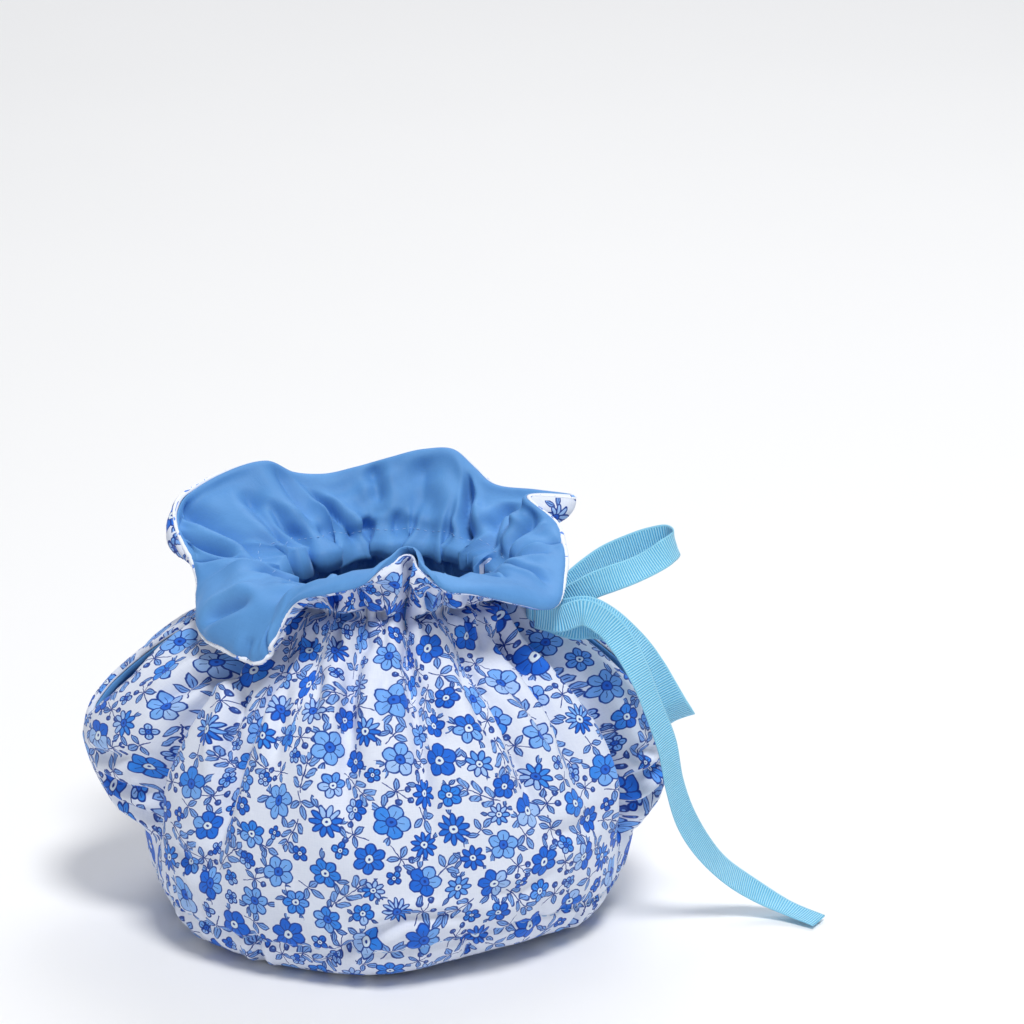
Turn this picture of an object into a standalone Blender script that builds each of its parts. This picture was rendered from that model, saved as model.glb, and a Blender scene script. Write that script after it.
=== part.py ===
"""Gathered tea cosy: a padded cotton cover drawn in at the neck by a ribbon, with a ruffled collar above it.

Two printed outer panels and two plain lining panels meet at the side seams. Each seam is left open higher
up, on the left for a spout and on the right for a handle. The hem curls under and rests on the table.
Lengths in the tables are millimetres, from the neck's axis. X runs from the spout side to the handle side
and Y towards the back. The finished cosy is moved by CENTRING, which puts the origin under its box's middle.
Angles turn round the neck from the front (0) to the handle side (90), the back (180) and the spout side (270).
"""

import math
from collections import namedtuple

import bpy
import numpy as np

MM = 0.001

# Cloth layers, measured from the plane where the outer cloth and the lining meet.
OUTER_THICK = 2.4
LINING_THICK = 2.0
HALF_GAP = 0.2
SEAM_HALF_GAP = 0.25
HEM_UP = OUTER_THICK + HALF_GAP

# The cosy as a whole.
NECK_OUT = 41.0
NECK_UP = 118.0
GATHER_COUNT = 18
GATHER_DEPTH = 1.6
GATHER_FADE = 13.0
COLLAR_LIFT = 12.0
CENTRING = (5.0, 0.0, 0.0)

# How finely each panel is divided.
BODY_ROWS = 15
COLLAR_ROWS = 6
PANEL_COLUMNS = 36
HEM_FLAT_OUT = 64.5
NORMAL_STEP_DEG = 2.5
NORMAL_STEP_ROW = 0.02

SPOUT_SIDE = 270.0
HANDLE_SIDE = 90.0

Ring = namedtuple("Ring", "out up")
BODY_RINGS = (
    Ring(56.0, HEM_UP),
    Ring(HEM_FLAT_OUT, HEM_UP),
    Ring(71.0, 5.5),
    Ring(76.5, 13.0),
    Ring(80.0, 24.0),
    Ring(81.5, 38.0),
    Ring(81.0, 54.0),
    Ring(77.5, 70.0),
    Ring(72.0, 82.5),
    Ring(63.5, 93.0),
    Ring(54.0, 101.5),
    Ring(46.5, 109.0),
    Ring(NECK_OUT, NECK_UP),
)

# The cloth is pushed out where a spout and a handle stand below it: how far, over how many degrees.
Bulge = namedtuple("Bulge", "up reach spread")
SPOUT_BULGE = (
    Bulge(24, 0.0, 13),
    Bulge(31, 1.0, 13),
    Bulge(36, 7.5, 14),
    Bulge(41, 13.5, 15),
    Bulge(46, 16.5, 16),
    Bulge(54, 20.5, 18),
    Bulge(63, 24.5, 20),
    Bulge(71, 25.5, 21),
    Bulge(77, 24.0, 22),
    Bulge(85, 20.0, 24),
    Bulge(95, 16.0, 25),
    Bulge(105, 10.5, 27),
    Bulge(112, 2.5, 29),
    Bulge(118, 0.0, 30),
)
HANDLE_BULGE = (
    Bulge(24, 0.0, 13),
    Bulge(33, 0.5, 13),
    Bulge(38, 5.5, 14),
    Bulge(43, 10.0, 15),
    Bulge(48, 12.5, 16),
    Bulge(56, 13.0, 18),
    Bulge(66, 12.5, 19),
    Bulge(76, 12.0, 20),
    Bulge(86, 11.0, 22),
    Bulge(96, 8.5, 24),
    Bulge(105, 4.5, 26),
    Bulge(112, 1.0, 28),
    Bulge(118, 0.0, 28),
)

# Half the width of the opening left in each side seam, by height.
Slit = namedtuple("Slit", "up half")
SPOUT_SLIT = (
    Slit(62, 0.0),
    Slit(67, 0.0),
    Slit(72, 6.0),
    Slit(79, 11.0),
    Slit(86, 11.5),
    Slit(92, 8.0),
    Slit(99, 4.0),
    Slit(106, 2.0),
    Slit(110, 0.0),
    Slit(118, 0.0),
)
HANDLE_SLIT = (
    Slit(48, 0.0),
    Slit(53, 0.0),
    Slit(58, 4.5),
    Slit(66, 7.5),
    Slit(76, 8.5),
    Slit(88, 8.5),
    Slit(96, 6.5),
    Slit(102, 3.5),
    Slit(108, 1.5),
    Slit(112, 0.0),
    Slit(118, 0.0),
)

# The foot's shape round the table: how far it stands out, and how far the gathered hem is drawn up.
Foot = namedtuple("Foot", "deg push lift")
FOOT = (
    Foot(0, 0.0, 0.5),
    Foot(20, -1.0, 3.5),
    Foot(40, -1.0, 4.5),
    Foot(60, 0.0, 2.0),
    Foot(80, 0.5, 0.0),
    Foot(130, 0.0, 0.0),
    Foot(180, -1.0, 0.0),
    Foot(230, 1.0, 0.0),
    Foot(265, 3.0, 0.0),
    Foot(300, 3.0, 0.0),
    Foot(325, 1.5, 0.0),
    Foot(345, 0.5, 0.0),
)
FOOT_TOP = 50.0

# Main valleys of the gathered body: angle at the neck and at the foot, depth, half width, lowest height.
Valley = namedtuple("Valley", "top_deg foot_deg depth half low")
VALLEYS = (
    Valley(9, 11, 3.4, 6, 52),
    Valley(28, 41, 3.0, 7, 42),
    Valley(47, 56, 2.4, 7, 48),
    Valley(66, 74, 4.2, 7, 22),
    Valley(112, 106, 4.0, 7, 24),
    Valley(131, 127, 2.8, 7, 44),
    Valley(149, 151, 3.4, 7, 38),
    Valley(168, 166, 2.6, 6, 54),
    Valley(186, 189, 3.2, 7, 46),
    Valley(204, 202, 2.6, 7, 56),
    Valley(222, 226, 3.4, 7, 40),
    Valley(243, 252, 4.2, 7, 24),
    Valley(306, 287, 4.6, 7, 26),
    Valley(323, 317, 4.4, 6, 36),
    Valley(335, 335, 2.2, 6, 66),
    Valley(349, 352, 3.0, 6, 54),
)

# The collar's edge: the angle at the neck that it is gathered to and its place. The cloth leaves the neck
# leaning out, and curls into its edge from a point that is tucked back towards the neck and raised.
Rim = namedtuple("Rim", "neck_deg x y up lean tuck rise")
RIM = (
    Rim(8, 7, -43, 140, 0, 0, -10),
    Rim(19, 18, -54, 134, 2, 7, 3),
    Rim(33, 29, -54, 131, 2, 8, 4),
    Rim(47, 44, -46, 125, 2, 8, 5),
    Rim(61, 56, -36, 120, 1, 8, 7),
    Rim(76, 60, -16, 125, 0, 6, 2),
    Rim(90, 60, 2, 129, 0, 5, -2),
    Rim(101, 57, 14, 134, 0, 5, -6),
    Rim(110, 48, 21, 141, 0, 1, -12),
    Rim(119, 63, 29, 139, 0, 3, -10),
    Rim(129, 50, 38, 138, 0, 2, -12),
    Rim(140, 36, 45, 138, 0, 2, -12),
    Rim(149, 29, 52, 142, 0, 2, -12),
    Rim(158, 22, 57, 147, 0, 3, -12),
    Rim(169, 11, 58, 147, 0, 3, -12),
    Rim(181, -1, 58, 144, 0, 3, -12),
    Rim(193, -13, 56, 141, 0, 3, -12),
    Rim(205, -25, 54, 139, 0, 3, -12),
    Rim(214, -35, 53, 140, 0, 3, -12),
    Rim(224, -45, 50, 145, 0, 4, -12),
    Rim(235, -59, 41, 143, 5, -2, -11),
    Rim(246, -72, 27, 137, 11, -8, -11),
    Rim(257, -73, 15, 132, 12, -7, -10),
    Rim(267, -69, 5, 125, 7, 3, -7),
    Rim(277, -65, -4, 118, 3, 7, 2),
    Rim(287, -64, -14, 112, 2, 5, 11),
    Rim(297, -63, -27, 108, 2, 5, 15),
    Rim(308, -54, -40, 107, 2, 5, 17),
    Rim(318, -40, -51, 106, 2, 4, 19),
    Rim(327, -35, -52, 116, 2, 4, 13),
    Rim(335, -30, -51, 126, 2, 6, 6),
    Rim(346, -18, -55, 132, 2, 8, 4),
    Rim(357, -6, -54, 135, 2, 7, 3),
)

# Ribbon: its centre line from the knot, and the direction of its width.
RIBBON_WIDE = 9.0
RIBBON_THICK = 0.8
RIBBON_STEPS = 32
Turn = namedtuple("Turn", "x y up wide_x wide_y wide_up")
UPPER_LOOP = (
    Turn(55.6, -17.2, 114.4, 0.0, 0.1, 1.0),
    Turn(59.0, -17.4, 115.4, 0.0, 0.1, 1.0),
    Turn(64.5, -17.4, 118.4, 0.0, 0.1, 1.0),
    Turn(70.0, -16.5, 121.2, -0.1, 0.2, 1.0),
    Turn(76.0, -15.0, 123.0, -0.2, 0.4, 0.9),
    Turn(83.0, -12.5, 124.8, -0.2, 0.6, 0.8),
    Turn(89.0, -9.8, 126.9, -0.2, 0.6, 0.8),
    Turn(94.5, -6.5, 129.6, -0.3, 0.3, 0.9),
    Turn(98.0, -1.5, 131.4, -0.3, 0.0, 1.0),
    Turn(95.5, 3.0, 131.8, -0.3, 0.0, 1.0),
    Turn(90.0, 4.0, 130.6, -0.3, 0.0, 1.0),
    Turn(82.0, 3.0, 128.2, -0.2, 0.0, 1.0),
    Turn(73.5, 0.0, 125.2, -0.1, 0.0, 1.0),
    Turn(67.0, -4.0, 121.8, 0.0, 0.0, 1.0),
    Turn(61.5, -8.0, 118.0, 0.0, 0.1, 1.0),
    Turn(57.5, -10.8, 115.8, 0.0, 0.1, 1.0),
    Turn(54.0, -12.6, 115.0, 0.0, 0.1, 1.0),
)
LOWER_LOOP = (
    Turn(53.6, -22.3, 113.8, 0.0, 0.1, 1.0),
    Turn(60.0, -23.8, 114.2, 0.0, 0.2, 1.0),
    Turn(67.0, -24.6, 115.3, 0.1, 0.5, 0.8),
    Turn(75.0, -24.6, 112.5, 0.2, 0.8, 0.5),
    Turn(83.0, -24.6, 104.0, 0.5, 0.6, 0.5),
    Turn(90.0, -24.4, 93.5, 0.8, 0.3, 0.4),
    Turn(97.4, -23.6, 80.0, 0.94, 0.0, 0.34),
    Turn(100.2, -19.6, 74.5, 0.94, 0.0, 0.34),
    Turn(97.8, -14.8, 77.0, 0.94, 0.0, 0.34),
    Turn(91.0, -12.8, 88.0, 0.9, 0.1, 0.4),
    Turn(84.0, -12.6, 97.0, 0.7, 0.3, 0.5),
    Turn(77.0, -13.4, 103.5, 0.5, 0.4, 0.7),
    Turn(70.0, -16.4, 106.6, 0.3, 0.4, 0.8),
    Turn(63.5, -19.5, 107.4, 0.1, 0.2, 0.9),
    Turn(58.5, -20.4, 109.0, 0.0, 0.1, 1.0),
    Turn(55.3, -20.5, 110.2, 0.0, 0.0, 1.0),
)
TAIL = (
    Turn(49.9, -24.5, 113.0, 0.0, 0.0, 1.0),
    Turn(57.5, -27.6, 112.8, 0.1, 0.1, 1.0),
    Turn(66.5, -30.2, 116.0, 0.4, 0.2, 0.9),
    Turn(73.5, -31.8, 112.6, 0.6, 0.3, 0.7),
    Turn(79.5, -34.4, 105.9, 0.65, 0.45, 0.5),
    Turn(84.7, -36.4, 96.5, 0.67, 0.6, 0.3),
    Turn(89.4, -37.2, 84.7, 0.67, 0.7, 0.1),
    Turn(94.0, -36.2, 71.6, 0.67, 0.73, 0.1),
    Turn(97.2, -32.8, 55.0, 0.7, 0.7, 0.1),
    Turn(101.3, -28.4, 41.2, 0.7, 0.7, 0.1),
    Turn(106.8, -24.0, 30.0, 0.65, 0.7, 0.2),
    Turn(114.8, -19.4, 19.0, 0.5, 0.75, 0.3),
    Turn(125.8, -16.0, 9.6, 0.4, 0.8, 0.3),
    Turn(137.0, -17.8, 3.7, 0.38, 0.9, 0.15),
    Turn(148.0, -24.5, 1.6, 0.38, 0.9, 0.1),
)
KNOT_AT = (50.7, -18.3, 114.0)
KNOT_HALF = (3.8, 5.5, 4.6)
KNOT_TURN_DEG = 19.0
KNOT_RINGS = 8
KNOT_SIDES = 14
KNOT_BOXINESS = 0.7

OUTER_COLOUR = (0.62, 0.70, 0.90)
LINING_COLOUR = (0.13, 0.30, 0.62)
RIBBON_COLOUR = (0.18, 0.60, 0.78)


def clear_scene():
    """Takes away whatever the file opened with."""
    for old in list(bpy.data.objects):
        bpy.data.objects.remove(old)


def cloth_material(name, colour, roughness):
    material = bpy.data.materials.new(name)
    material.use_nodes = True
    shader = material.node_tree.nodes["Principled BSDF"]
    shader.inputs["Base Color"].default_value = (*colour, 1.0)
    shader.inputs["Roughness"].default_value = roughness
    shader.inputs["Metallic"].default_value = 0.0
    return material


def through(keys, values, at, period=None):
    """A smooth curve through the values at the keys: cubic pieces whose slope at a key follows its neighbours."""
    keys = np.asarray(keys, float)
    values = np.asarray(values, float)
    at = np.asarray(at, float)
    if period:
        keys = np.concatenate([keys[-2:] - period, keys, keys[:2] + period])
        values = np.concatenate([values[-2:], values, values[:2]])
        at = (at - keys[2]) % period + keys[2]
    slopes = np.gradient(values, keys, axis=0)
    span = np.clip(np.searchsorted(keys, at, side="right") - 1, 0, len(keys) - 2)
    width = keys[span + 1] - keys[span]
    t = (at - keys[span]) / width
    if values.ndim > 1:
        t, width = t[..., None], width[..., None]
    start, end = values[span], values[span + 1]
    ease = t * t * (3 - 2 * t)
    leave = t * (1 - t) ** 2 * width * slopes[span]
    arrive = t * t * (t - 1) * width * slopes[span + 1]
    return start + (end - start) * ease + leave + arrive


def column(rows, name):
    return [getattr(row, name) for row in rows]


def angle_from(degrees, centre):
    """How far an angle lies from a centre, from -180 to 180 degrees."""
    return (degrees - centre + 180) % 360 - 180


def ramp(value, low, high):
    """0 below low, 1 above high and smooth between them."""
    t = np.clip((value - low) / (high - low), 0, 1)
    return t * t * (3 - 2 * t)


def ring_lengths():
    """The length along the body's meridian at each of its rings."""
    points = np.array(BODY_RINGS, float)
    steps = np.linalg.norm(np.diff(points, axis=0), axis=1)
    return np.concatenate([[0.0], np.cumsum(steps)])


def bulge(rows, side, degrees, up):
    """How far the cloth is pushed out over a spout or a handle."""
    heights = column(rows, "up")
    reach = np.interp(up, heights, column(rows, "reach"))
    spread = np.interp(up, heights, column(rows, "spread"))
    return reach * np.exp(-((angle_from(degrees, side) / spread) ** 2))


def valleys(degrees, up, out):
    """The radial depth of all main valleys. Each slants from its angle at the neck to its angle at the foot."""
    depth = np.zeros(np.broadcast(degrees, up).shape)
    for row in VALLEYS:
        share = np.clip((NECK_UP - up) / (NECK_UP - row.low), 0, 1)
        centre = row.top_deg + share * angle_from(row.foot_deg, row.top_deg)
        aside = np.radians(angle_from(degrees, centre)) * out
        strength = ramp(up, row.low - 12, row.low + 28) * (1 - 0.7 * ramp(up, 96, 114))
        narrow = 0.55 + 0.45 * share
        depth += row.depth * strength * np.exp(-((aside / (row.half * narrow)) ** 2))
    return depth


def gathers(degrees, up):
    """Small even pleats that are deepest at the neck."""
    fade = np.exp(-(((up - NECK_UP) / GATHER_FADE) ** 2))
    return -GATHER_DEPTH * fade * np.cos(np.radians(degrees * GATHER_COUNT))


def polar(degrees, out, up):
    turn = np.radians(degrees)
    return np.stack([out * np.sin(turn), -out * np.cos(turn), up + 0 * out], axis=-1)


def body_point(degrees, share):
    """A point of the body's middle surface: share runs from 0 at the hem's inner edge to 1 at the neck."""
    lengths = ring_lengths()
    at = np.clip(share, -0.02, 1.0) * lengths[-1]
    out = through(lengths, column(BODY_RINGS, "out"), at)
    up = np.maximum(through(lengths, column(BODY_RINGS, "up"), at), HEM_UP)
    pushed = bulge(SPOUT_BULGE, SPOUT_SIDE, degrees, up) + bulge(HANDLE_BULGE, HANDLE_SIDE, degrees, up)
    foot = through(column(FOOT, "deg"), np.array([(row.push, row.lift) for row in FOOT]), degrees, 360)
    low = 1 - ramp(up, HEM_UP, FOOT_TOP)
    pushed += foot[..., 0] * low * ramp(share, 0.0, 0.12)
    sunk = valleys(degrees, up, out)
    return polar(degrees, out + pushed - sunk + gathers(degrees, up), up + foot[..., 1] * low)


def collar_point(degrees, share):
    """A point of the collar: a cubic curve from the neck (0) to the edge (1), through two handles."""
    neck = body_point(degrees, np.ones_like(degrees))
    edges = np.array([(row.x, row.y, row.up) for row in RIM], float)
    holds = np.array([(row.lean, row.tuck, row.rise) for row in RIM], float)
    angles = column(RIM, "neck_deg")
    edge = through(angles, edges, degrees, 360)
    hold = through(angles, holds, degrees, 360)
    inward = neck[..., :2] - edge[..., :2]
    inward = inward / np.linalg.norm(inward, axis=-1, keepdims=True)
    upper = edge.copy()
    upper[..., :2] += hold[..., 1:2] * inward
    upper[..., 2] += hold[..., 2]
    lower = neck + np.array([0, 0, COLLAR_LIFT])
    lower[..., :2] -= hold[..., :1] * inward
    t = share[..., None]
    return (
        (1 - t) ** 3 * neck
        + 3 * t * (1 - t) ** 2 * lower
        + 3 * t * t * (1 - t) * upper
        + t**3 * edge
    )


def cosy_point(degrees, row):
    """The cosy's middle surface: row runs from 0 (hem) through 1 (neck) to 2 (collar's edge)."""
    degrees, row = np.broadcast_arrays(np.asarray(degrees, float), np.asarray(row, float))
    low = body_point(degrees, np.minimum(row, 1.0))
    high = collar_point(degrees, np.maximum(row, 1.0) - 1.0)
    return np.where((row <= 1.0)[..., None], low, high)


def cosy_normal(degrees, row):
    """The outward direction, from the points a little to each side."""
    along = cosy_point(degrees + NORMAL_STEP_DEG, row) - cosy_point(degrees - NORMAL_STEP_DEG, row)
    rise = cosy_point(degrees, row + NORMAL_STEP_ROW) - cosy_point(degrees, np.maximum(row - NORMAL_STEP_ROW, 0))
    normal = np.cross(along, rise)
    return normal / np.linalg.norm(normal, axis=-1, keepdims=True)


def seam_half_angle(rows, side, row):
    """Half the angle between the two panels at a side: a stitched seam's gap, or the opening above it."""
    middle = cosy_point(np.full_like(row, side), row)
    out = np.linalg.norm(middle[..., :2], axis=-1)
    half = np.interp(middle[..., 2], column(rows, "up"), column(rows, "half"))
    half = np.where(row > 1.0, 0.0, half)
    return np.degrees(np.maximum(half, SEAM_HALF_GAP) / out)


def panel_grid(first_side, last_side):
    """The angle and the row value at each grid point of a panel between two side seams."""
    body = np.linspace(0.0, 1.0, BODY_ROWS + 1)
    collar = 1.0 + np.linspace(0.0, 1.0, COLLAR_ROWS + 1)[1:]
    row = np.concatenate([body, collar])
    slits = {SPOUT_SIDE: SPOUT_SLIT, HANDLE_SIDE: HANDLE_SLIT}
    start = first_side + seam_half_angle(slits[first_side % 360], first_side % 360, row)
    end = last_side - seam_half_angle(slits[last_side % 360], last_side % 360, row)
    share = np.linspace(0.0, 1.0, PANEL_COLUMNS + 1)
    degrees = start[:, None] + (end - start)[:, None] * share
    return degrees, np.repeat(row[:, None], PANEL_COLUMNS + 1, axis=1)


def shell_faces(rows, columns):
    """Triangles of a closed sheet: its outer side, its inner side and the four edges between them."""
    index = np.arange(rows * columns).reshape(rows, columns)
    a, b = index[:-1, :-1].ravel(), index[:-1, 1:].ravel()
    c, d = index[1:, 1:].ravel(), index[1:, :-1].ravel()
    outer = np.concatenate([np.stack([a, b, c], 1), np.stack([a, c, d], 1)])
    inner = outer[:, ::-1] + rows * columns
    loop = np.concatenate([index[0, :-1], index[:-1, -1], index[-1, :0:-1], index[:0:-1, 0]])
    ahead = np.roll(loop, -1)
    behind = rows * columns
    edge = np.concatenate(
        [
            np.stack([loop, loop + behind, ahead + behind], 1),
            np.stack([loop, ahead + behind, ahead], 1),
        ]
    )
    return np.concatenate([outer, inner, edge])


def solid(name, points, faces, material):
    mesh = bpy.data.meshes.new(name)
    mesh.from_pydata(((points + CENTRING) * MM).tolist(), [], faces.tolist())
    mesh.materials.append(material)
    mesh.shade_smooth()
    mesh.set_sharp_from_angle(angle=math.radians(50))
    made = bpy.data.objects.new(name, mesh)
    bpy.context.scene.collection.objects.link(made)
    return made


def panel(name, sides, near, far, material):
    """One cut panel between two side seams, from near to far on the outer side of the middle surface."""
    degrees, row = panel_grid(*sides)
    middle = cosy_point(degrees, row)
    normal = cosy_normal(degrees, row)
    flat = np.linalg.norm(middle[..., :2], axis=-1) <= HEM_FLAT_OUT
    flat &= row < 0.5
    normal[flat] = (0, 0, -1)
    outer = middle + far * normal
    inner = middle + near * normal
    outer[..., 2] = np.maximum(outer[..., 2], HEM_UP - far)
    inner[..., 2] = np.maximum(inner[..., 2], HEM_UP - near)
    points = np.concatenate([outer.reshape(-1, 3), inner.reshape(-1, 3)])
    return solid(name, points, shell_faces(*degrees.shape), material)


def ribbon(name, turns, material):
    """A flat strip along a smooth line, with its width in the given directions."""
    line = np.array([(turn.x, turn.y, turn.up) for turn in turns], float)
    wide = np.array([(turn.wide_x, turn.wide_y, turn.wide_up) for turn in turns], float)
    steps = np.linalg.norm(np.diff(line, axis=0), axis=1)
    keys = np.concatenate([[0.0], np.cumsum(steps)])
    at = np.linspace(0.0, keys[-1], RIBBON_STEPS + 1)
    centre = through(keys, line, at)
    ahead = np.gradient(centre, axis=0)
    ahead /= np.linalg.norm(ahead, axis=1, keepdims=True)
    across = through(keys, wide, at)
    across -= (across * ahead).sum(1, keepdims=True) * ahead
    across *= RIBBON_WIDE / 2 / np.linalg.norm(across, axis=1, keepdims=True)
    face = np.cross(across, ahead)
    face *= RIBBON_THICK / 2 / np.linalg.norm(face, axis=1, keepdims=True)
    outer = np.stack([centre - across, centre + across], 1) + face[:, None]
    inner = np.stack([centre - across, centre + across], 1) - face[:, None]
    points = np.concatenate([outer.reshape(-1, 3), inner.reshape(-1, 3)])
    return solid(name, points, shell_faces(RIBBON_STEPS + 1, 2), material)


def knot(name, material):
    """A rounded bean where the loops and the tail are tied, pressed against the neck."""
    lift = np.linspace(-math.pi / 2, math.pi / 2, KNOT_RINGS + 1)[1:-1]
    turn = np.arange(KNOT_SIDES) * 2 * math.pi / KNOT_SIDES
    lift, turn = np.meshgrid(lift, turn, indexing="ij")
    unit = np.stack([np.cos(lift) * np.cos(turn), np.cos(lift) * np.sin(turn), np.sin(lift)], -1)
    unit = np.concatenate([unit.reshape(-1, 3), [[0, 0, -1], [0, 0, 1]]])
    unit = np.sign(unit) * np.abs(unit) ** KNOT_BOXINESS * np.array(KNOT_HALF)
    spin = math.radians(-KNOT_TURN_DEG)
    x = unit[:, 0] * math.cos(spin) - unit[:, 1] * math.sin(spin)
    y = unit[:, 0] * math.sin(spin) + unit[:, 1] * math.cos(spin)
    points = np.stack([x, y, unit[:, 2]], 1) + np.array(KNOT_AT)
    index = np.arange((KNOT_RINGS - 1) * KNOT_SIDES).reshape(KNOT_RINGS - 1, KNOT_SIDES)
    after = np.roll(index, -1, axis=1)
    a, b, c, d = index[:-1].ravel(), after[:-1].ravel(), after[1:].ravel(), index[1:].ravel()
    bottom = np.full(KNOT_SIDES, index.size)
    sides = [np.stack([a, b, c], 1), np.stack([a, c, d], 1)]
    caps = [np.stack([bottom, after[0], index[0]], 1), np.stack([bottom + 1, index[-1], after[-1]], 1)]
    return solid(name, points, np.concatenate(sides + caps), material)


def make_cosy():
    outer = cloth_material("printed_cotton", OUTER_COLOUR, 0.7)
    lining = cloth_material("plain_cotton", LINING_COLOUR, 0.55)
    satin = cloth_material("ribbon", RIBBON_COLOUR, 0.5)
    front = (SPOUT_SIDE - 360, HANDLE_SIDE)
    back = (HANDLE_SIDE, SPOUT_SIDE)
    panel("outer_front", front, HALF_GAP, HALF_GAP + OUTER_THICK, outer)
    panel("outer_back", back, HALF_GAP, HALF_GAP + OUTER_THICK, outer)
    panel("lining_front", front, -HALF_GAP - LINING_THICK, -HALF_GAP, lining)
    panel("lining_back", back, -HALF_GAP - LINING_THICK, -HALF_GAP, lining)
    knot("ribbon_knot", satin)
    ribbon("ribbon_loop_upper", UPPER_LOOP, satin)
    ribbon("ribbon_loop_lower", LOWER_LOOP, satin)
    ribbon("ribbon_tail", TAIL, satin)


clear_scene()
make_cosy()
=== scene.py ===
# %% [markdown]
# # A gathered tea cosy
# The cosy is a padded cotton cover that a ribbon draws in at the neck. It has two printed outer panels, two plain
# lining panels and a ribbon bow. The solids of the frame hold its main shape. This lesson makes the cloth again,
# finer and with its folds, its print, its stitches and its ribbon, in the places that the solids give.

# %% Open the frame
import math
from collections import namedtuple

import bpy
import numpy as np
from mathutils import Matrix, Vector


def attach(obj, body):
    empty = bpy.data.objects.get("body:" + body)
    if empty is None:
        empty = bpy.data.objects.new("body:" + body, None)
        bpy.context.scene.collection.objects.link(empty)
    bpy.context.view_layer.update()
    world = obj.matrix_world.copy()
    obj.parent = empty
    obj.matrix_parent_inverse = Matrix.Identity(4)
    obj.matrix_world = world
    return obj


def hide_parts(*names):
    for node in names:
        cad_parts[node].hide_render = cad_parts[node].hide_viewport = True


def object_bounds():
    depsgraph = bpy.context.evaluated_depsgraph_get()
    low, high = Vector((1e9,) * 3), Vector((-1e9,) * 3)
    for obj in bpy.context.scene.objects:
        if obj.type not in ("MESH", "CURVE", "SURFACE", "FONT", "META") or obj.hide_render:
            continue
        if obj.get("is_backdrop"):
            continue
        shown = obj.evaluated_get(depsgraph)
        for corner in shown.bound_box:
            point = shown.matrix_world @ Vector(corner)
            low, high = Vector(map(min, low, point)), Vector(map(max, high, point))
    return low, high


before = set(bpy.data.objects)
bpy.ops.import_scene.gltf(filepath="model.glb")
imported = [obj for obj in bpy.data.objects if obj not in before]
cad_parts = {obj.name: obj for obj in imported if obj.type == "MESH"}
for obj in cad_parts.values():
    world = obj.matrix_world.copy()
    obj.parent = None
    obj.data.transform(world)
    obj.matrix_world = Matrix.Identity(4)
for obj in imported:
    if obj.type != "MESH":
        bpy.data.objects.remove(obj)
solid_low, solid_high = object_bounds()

MM = 0.001
print("solids:", ", ".join(sorted(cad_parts)))

# %% [markdown]
# ## The view
# The photo was taken from a little above and in front, with the cosy left of the middle. A long lens far away keeps
# the round foot as flat as the photo shows it. The camera looks at a point right of the cosy, so it needs no shift.

# %% Camera
LOOK_DOWN_DEG = 17.5
CAMERA_FAR = 1.3
LENS_MM = 134.4
CAMERA_AIM = np.array([0.04716, 0.0, 0.1418])


def make_camera():
    data = bpy.data.cameras.new("camera")
    data.sensor_width = 36.0
    data.lens = LENS_MM
    camera = bpy.data.objects.new("camera", data)
    down = math.radians(LOOK_DOWN_DEG)
    camera.location = CAMERA_AIM + CAMERA_FAR * np.array([0.0, -math.cos(down), math.sin(down)])
    camera.rotation_euler = (math.pi / 2 - down, 0.0, 0.0)
    bpy.context.scene.collection.objects.link(camera)
    bpy.context.scene.camera = camera
    print("camera at", [round(x, 3) for x in camera.location])


make_camera()

# %% [markdown]
# ## Light and floor
# The photo has soft light from high in front, with hardly a shadow on the white ground. A pale sky and four large
# lamps give that: the key lamp stands high in front, a little to the right, a weak one fills the left, one behind
# lights the collar, and one lights the far floor.

# %% Lamps
Lamp = namedtuple("Lamp", "name at aim size power")
SKY_COLOUR = (0.93, 0.95, 1.0, 1.0)
SKY_STRENGTH = 0.35
LAMPS = (
    Lamp("key", (0.40, -0.80, 2.0), (0.0, 0.0, 0.08), 0.6, 30.5),
    Lamp("fill", (-1.4, -1.7, 0.9), (0.0, 0.0, 0.08), 1.4, 2.2),
    Lamp("behind", (0.5, 1.1, 1.6), (0.0, 0.0, 0.08), 0.9, 6.5),
    Lamp("ground", (0.0, 3.2, 2.6), (0.0, 3.3, 0.0), 3.0, 46.0),
)


def make_lamps():
    for lamp in LAMPS:
        data = bpy.data.lights.new(lamp.name, "AREA")
        data.shape = "DISK"
        data.size = lamp.size
        data.energy = lamp.power
        made = bpy.data.objects.new(lamp.name, data)
        made.location = lamp.at
        aim = np.array(lamp.aim) - np.array(lamp.at)
        across = math.atan2(aim[1], aim[0]) - math.pi / 2
        drop = math.atan2(math.hypot(aim[0], aim[1]), -aim[2])
        made.rotation_euler = (drop, 0.0, across)
        bpy.context.scene.collection.objects.link(made)
    bpy.context.scene.view_settings.view_transform = "Standard"
    sky = bpy.data.worlds.new("sky")
    bpy.context.scene.world = sky
    sky.use_nodes = True
    sky.node_tree.nodes["Background"].inputs["Color"].default_value = SKY_COLOUR
    sky.node_tree.nodes["Background"].inputs["Strength"].default_value = SKY_STRENGTH


make_lamps()

# %% [markdown]
# ## Smooth curves and ramps
# Every shape here is drawn through a few numbers in a table. These helpers turn such a table into a smooth curve,
# and fade one thing into another.

# %% Curves


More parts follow.
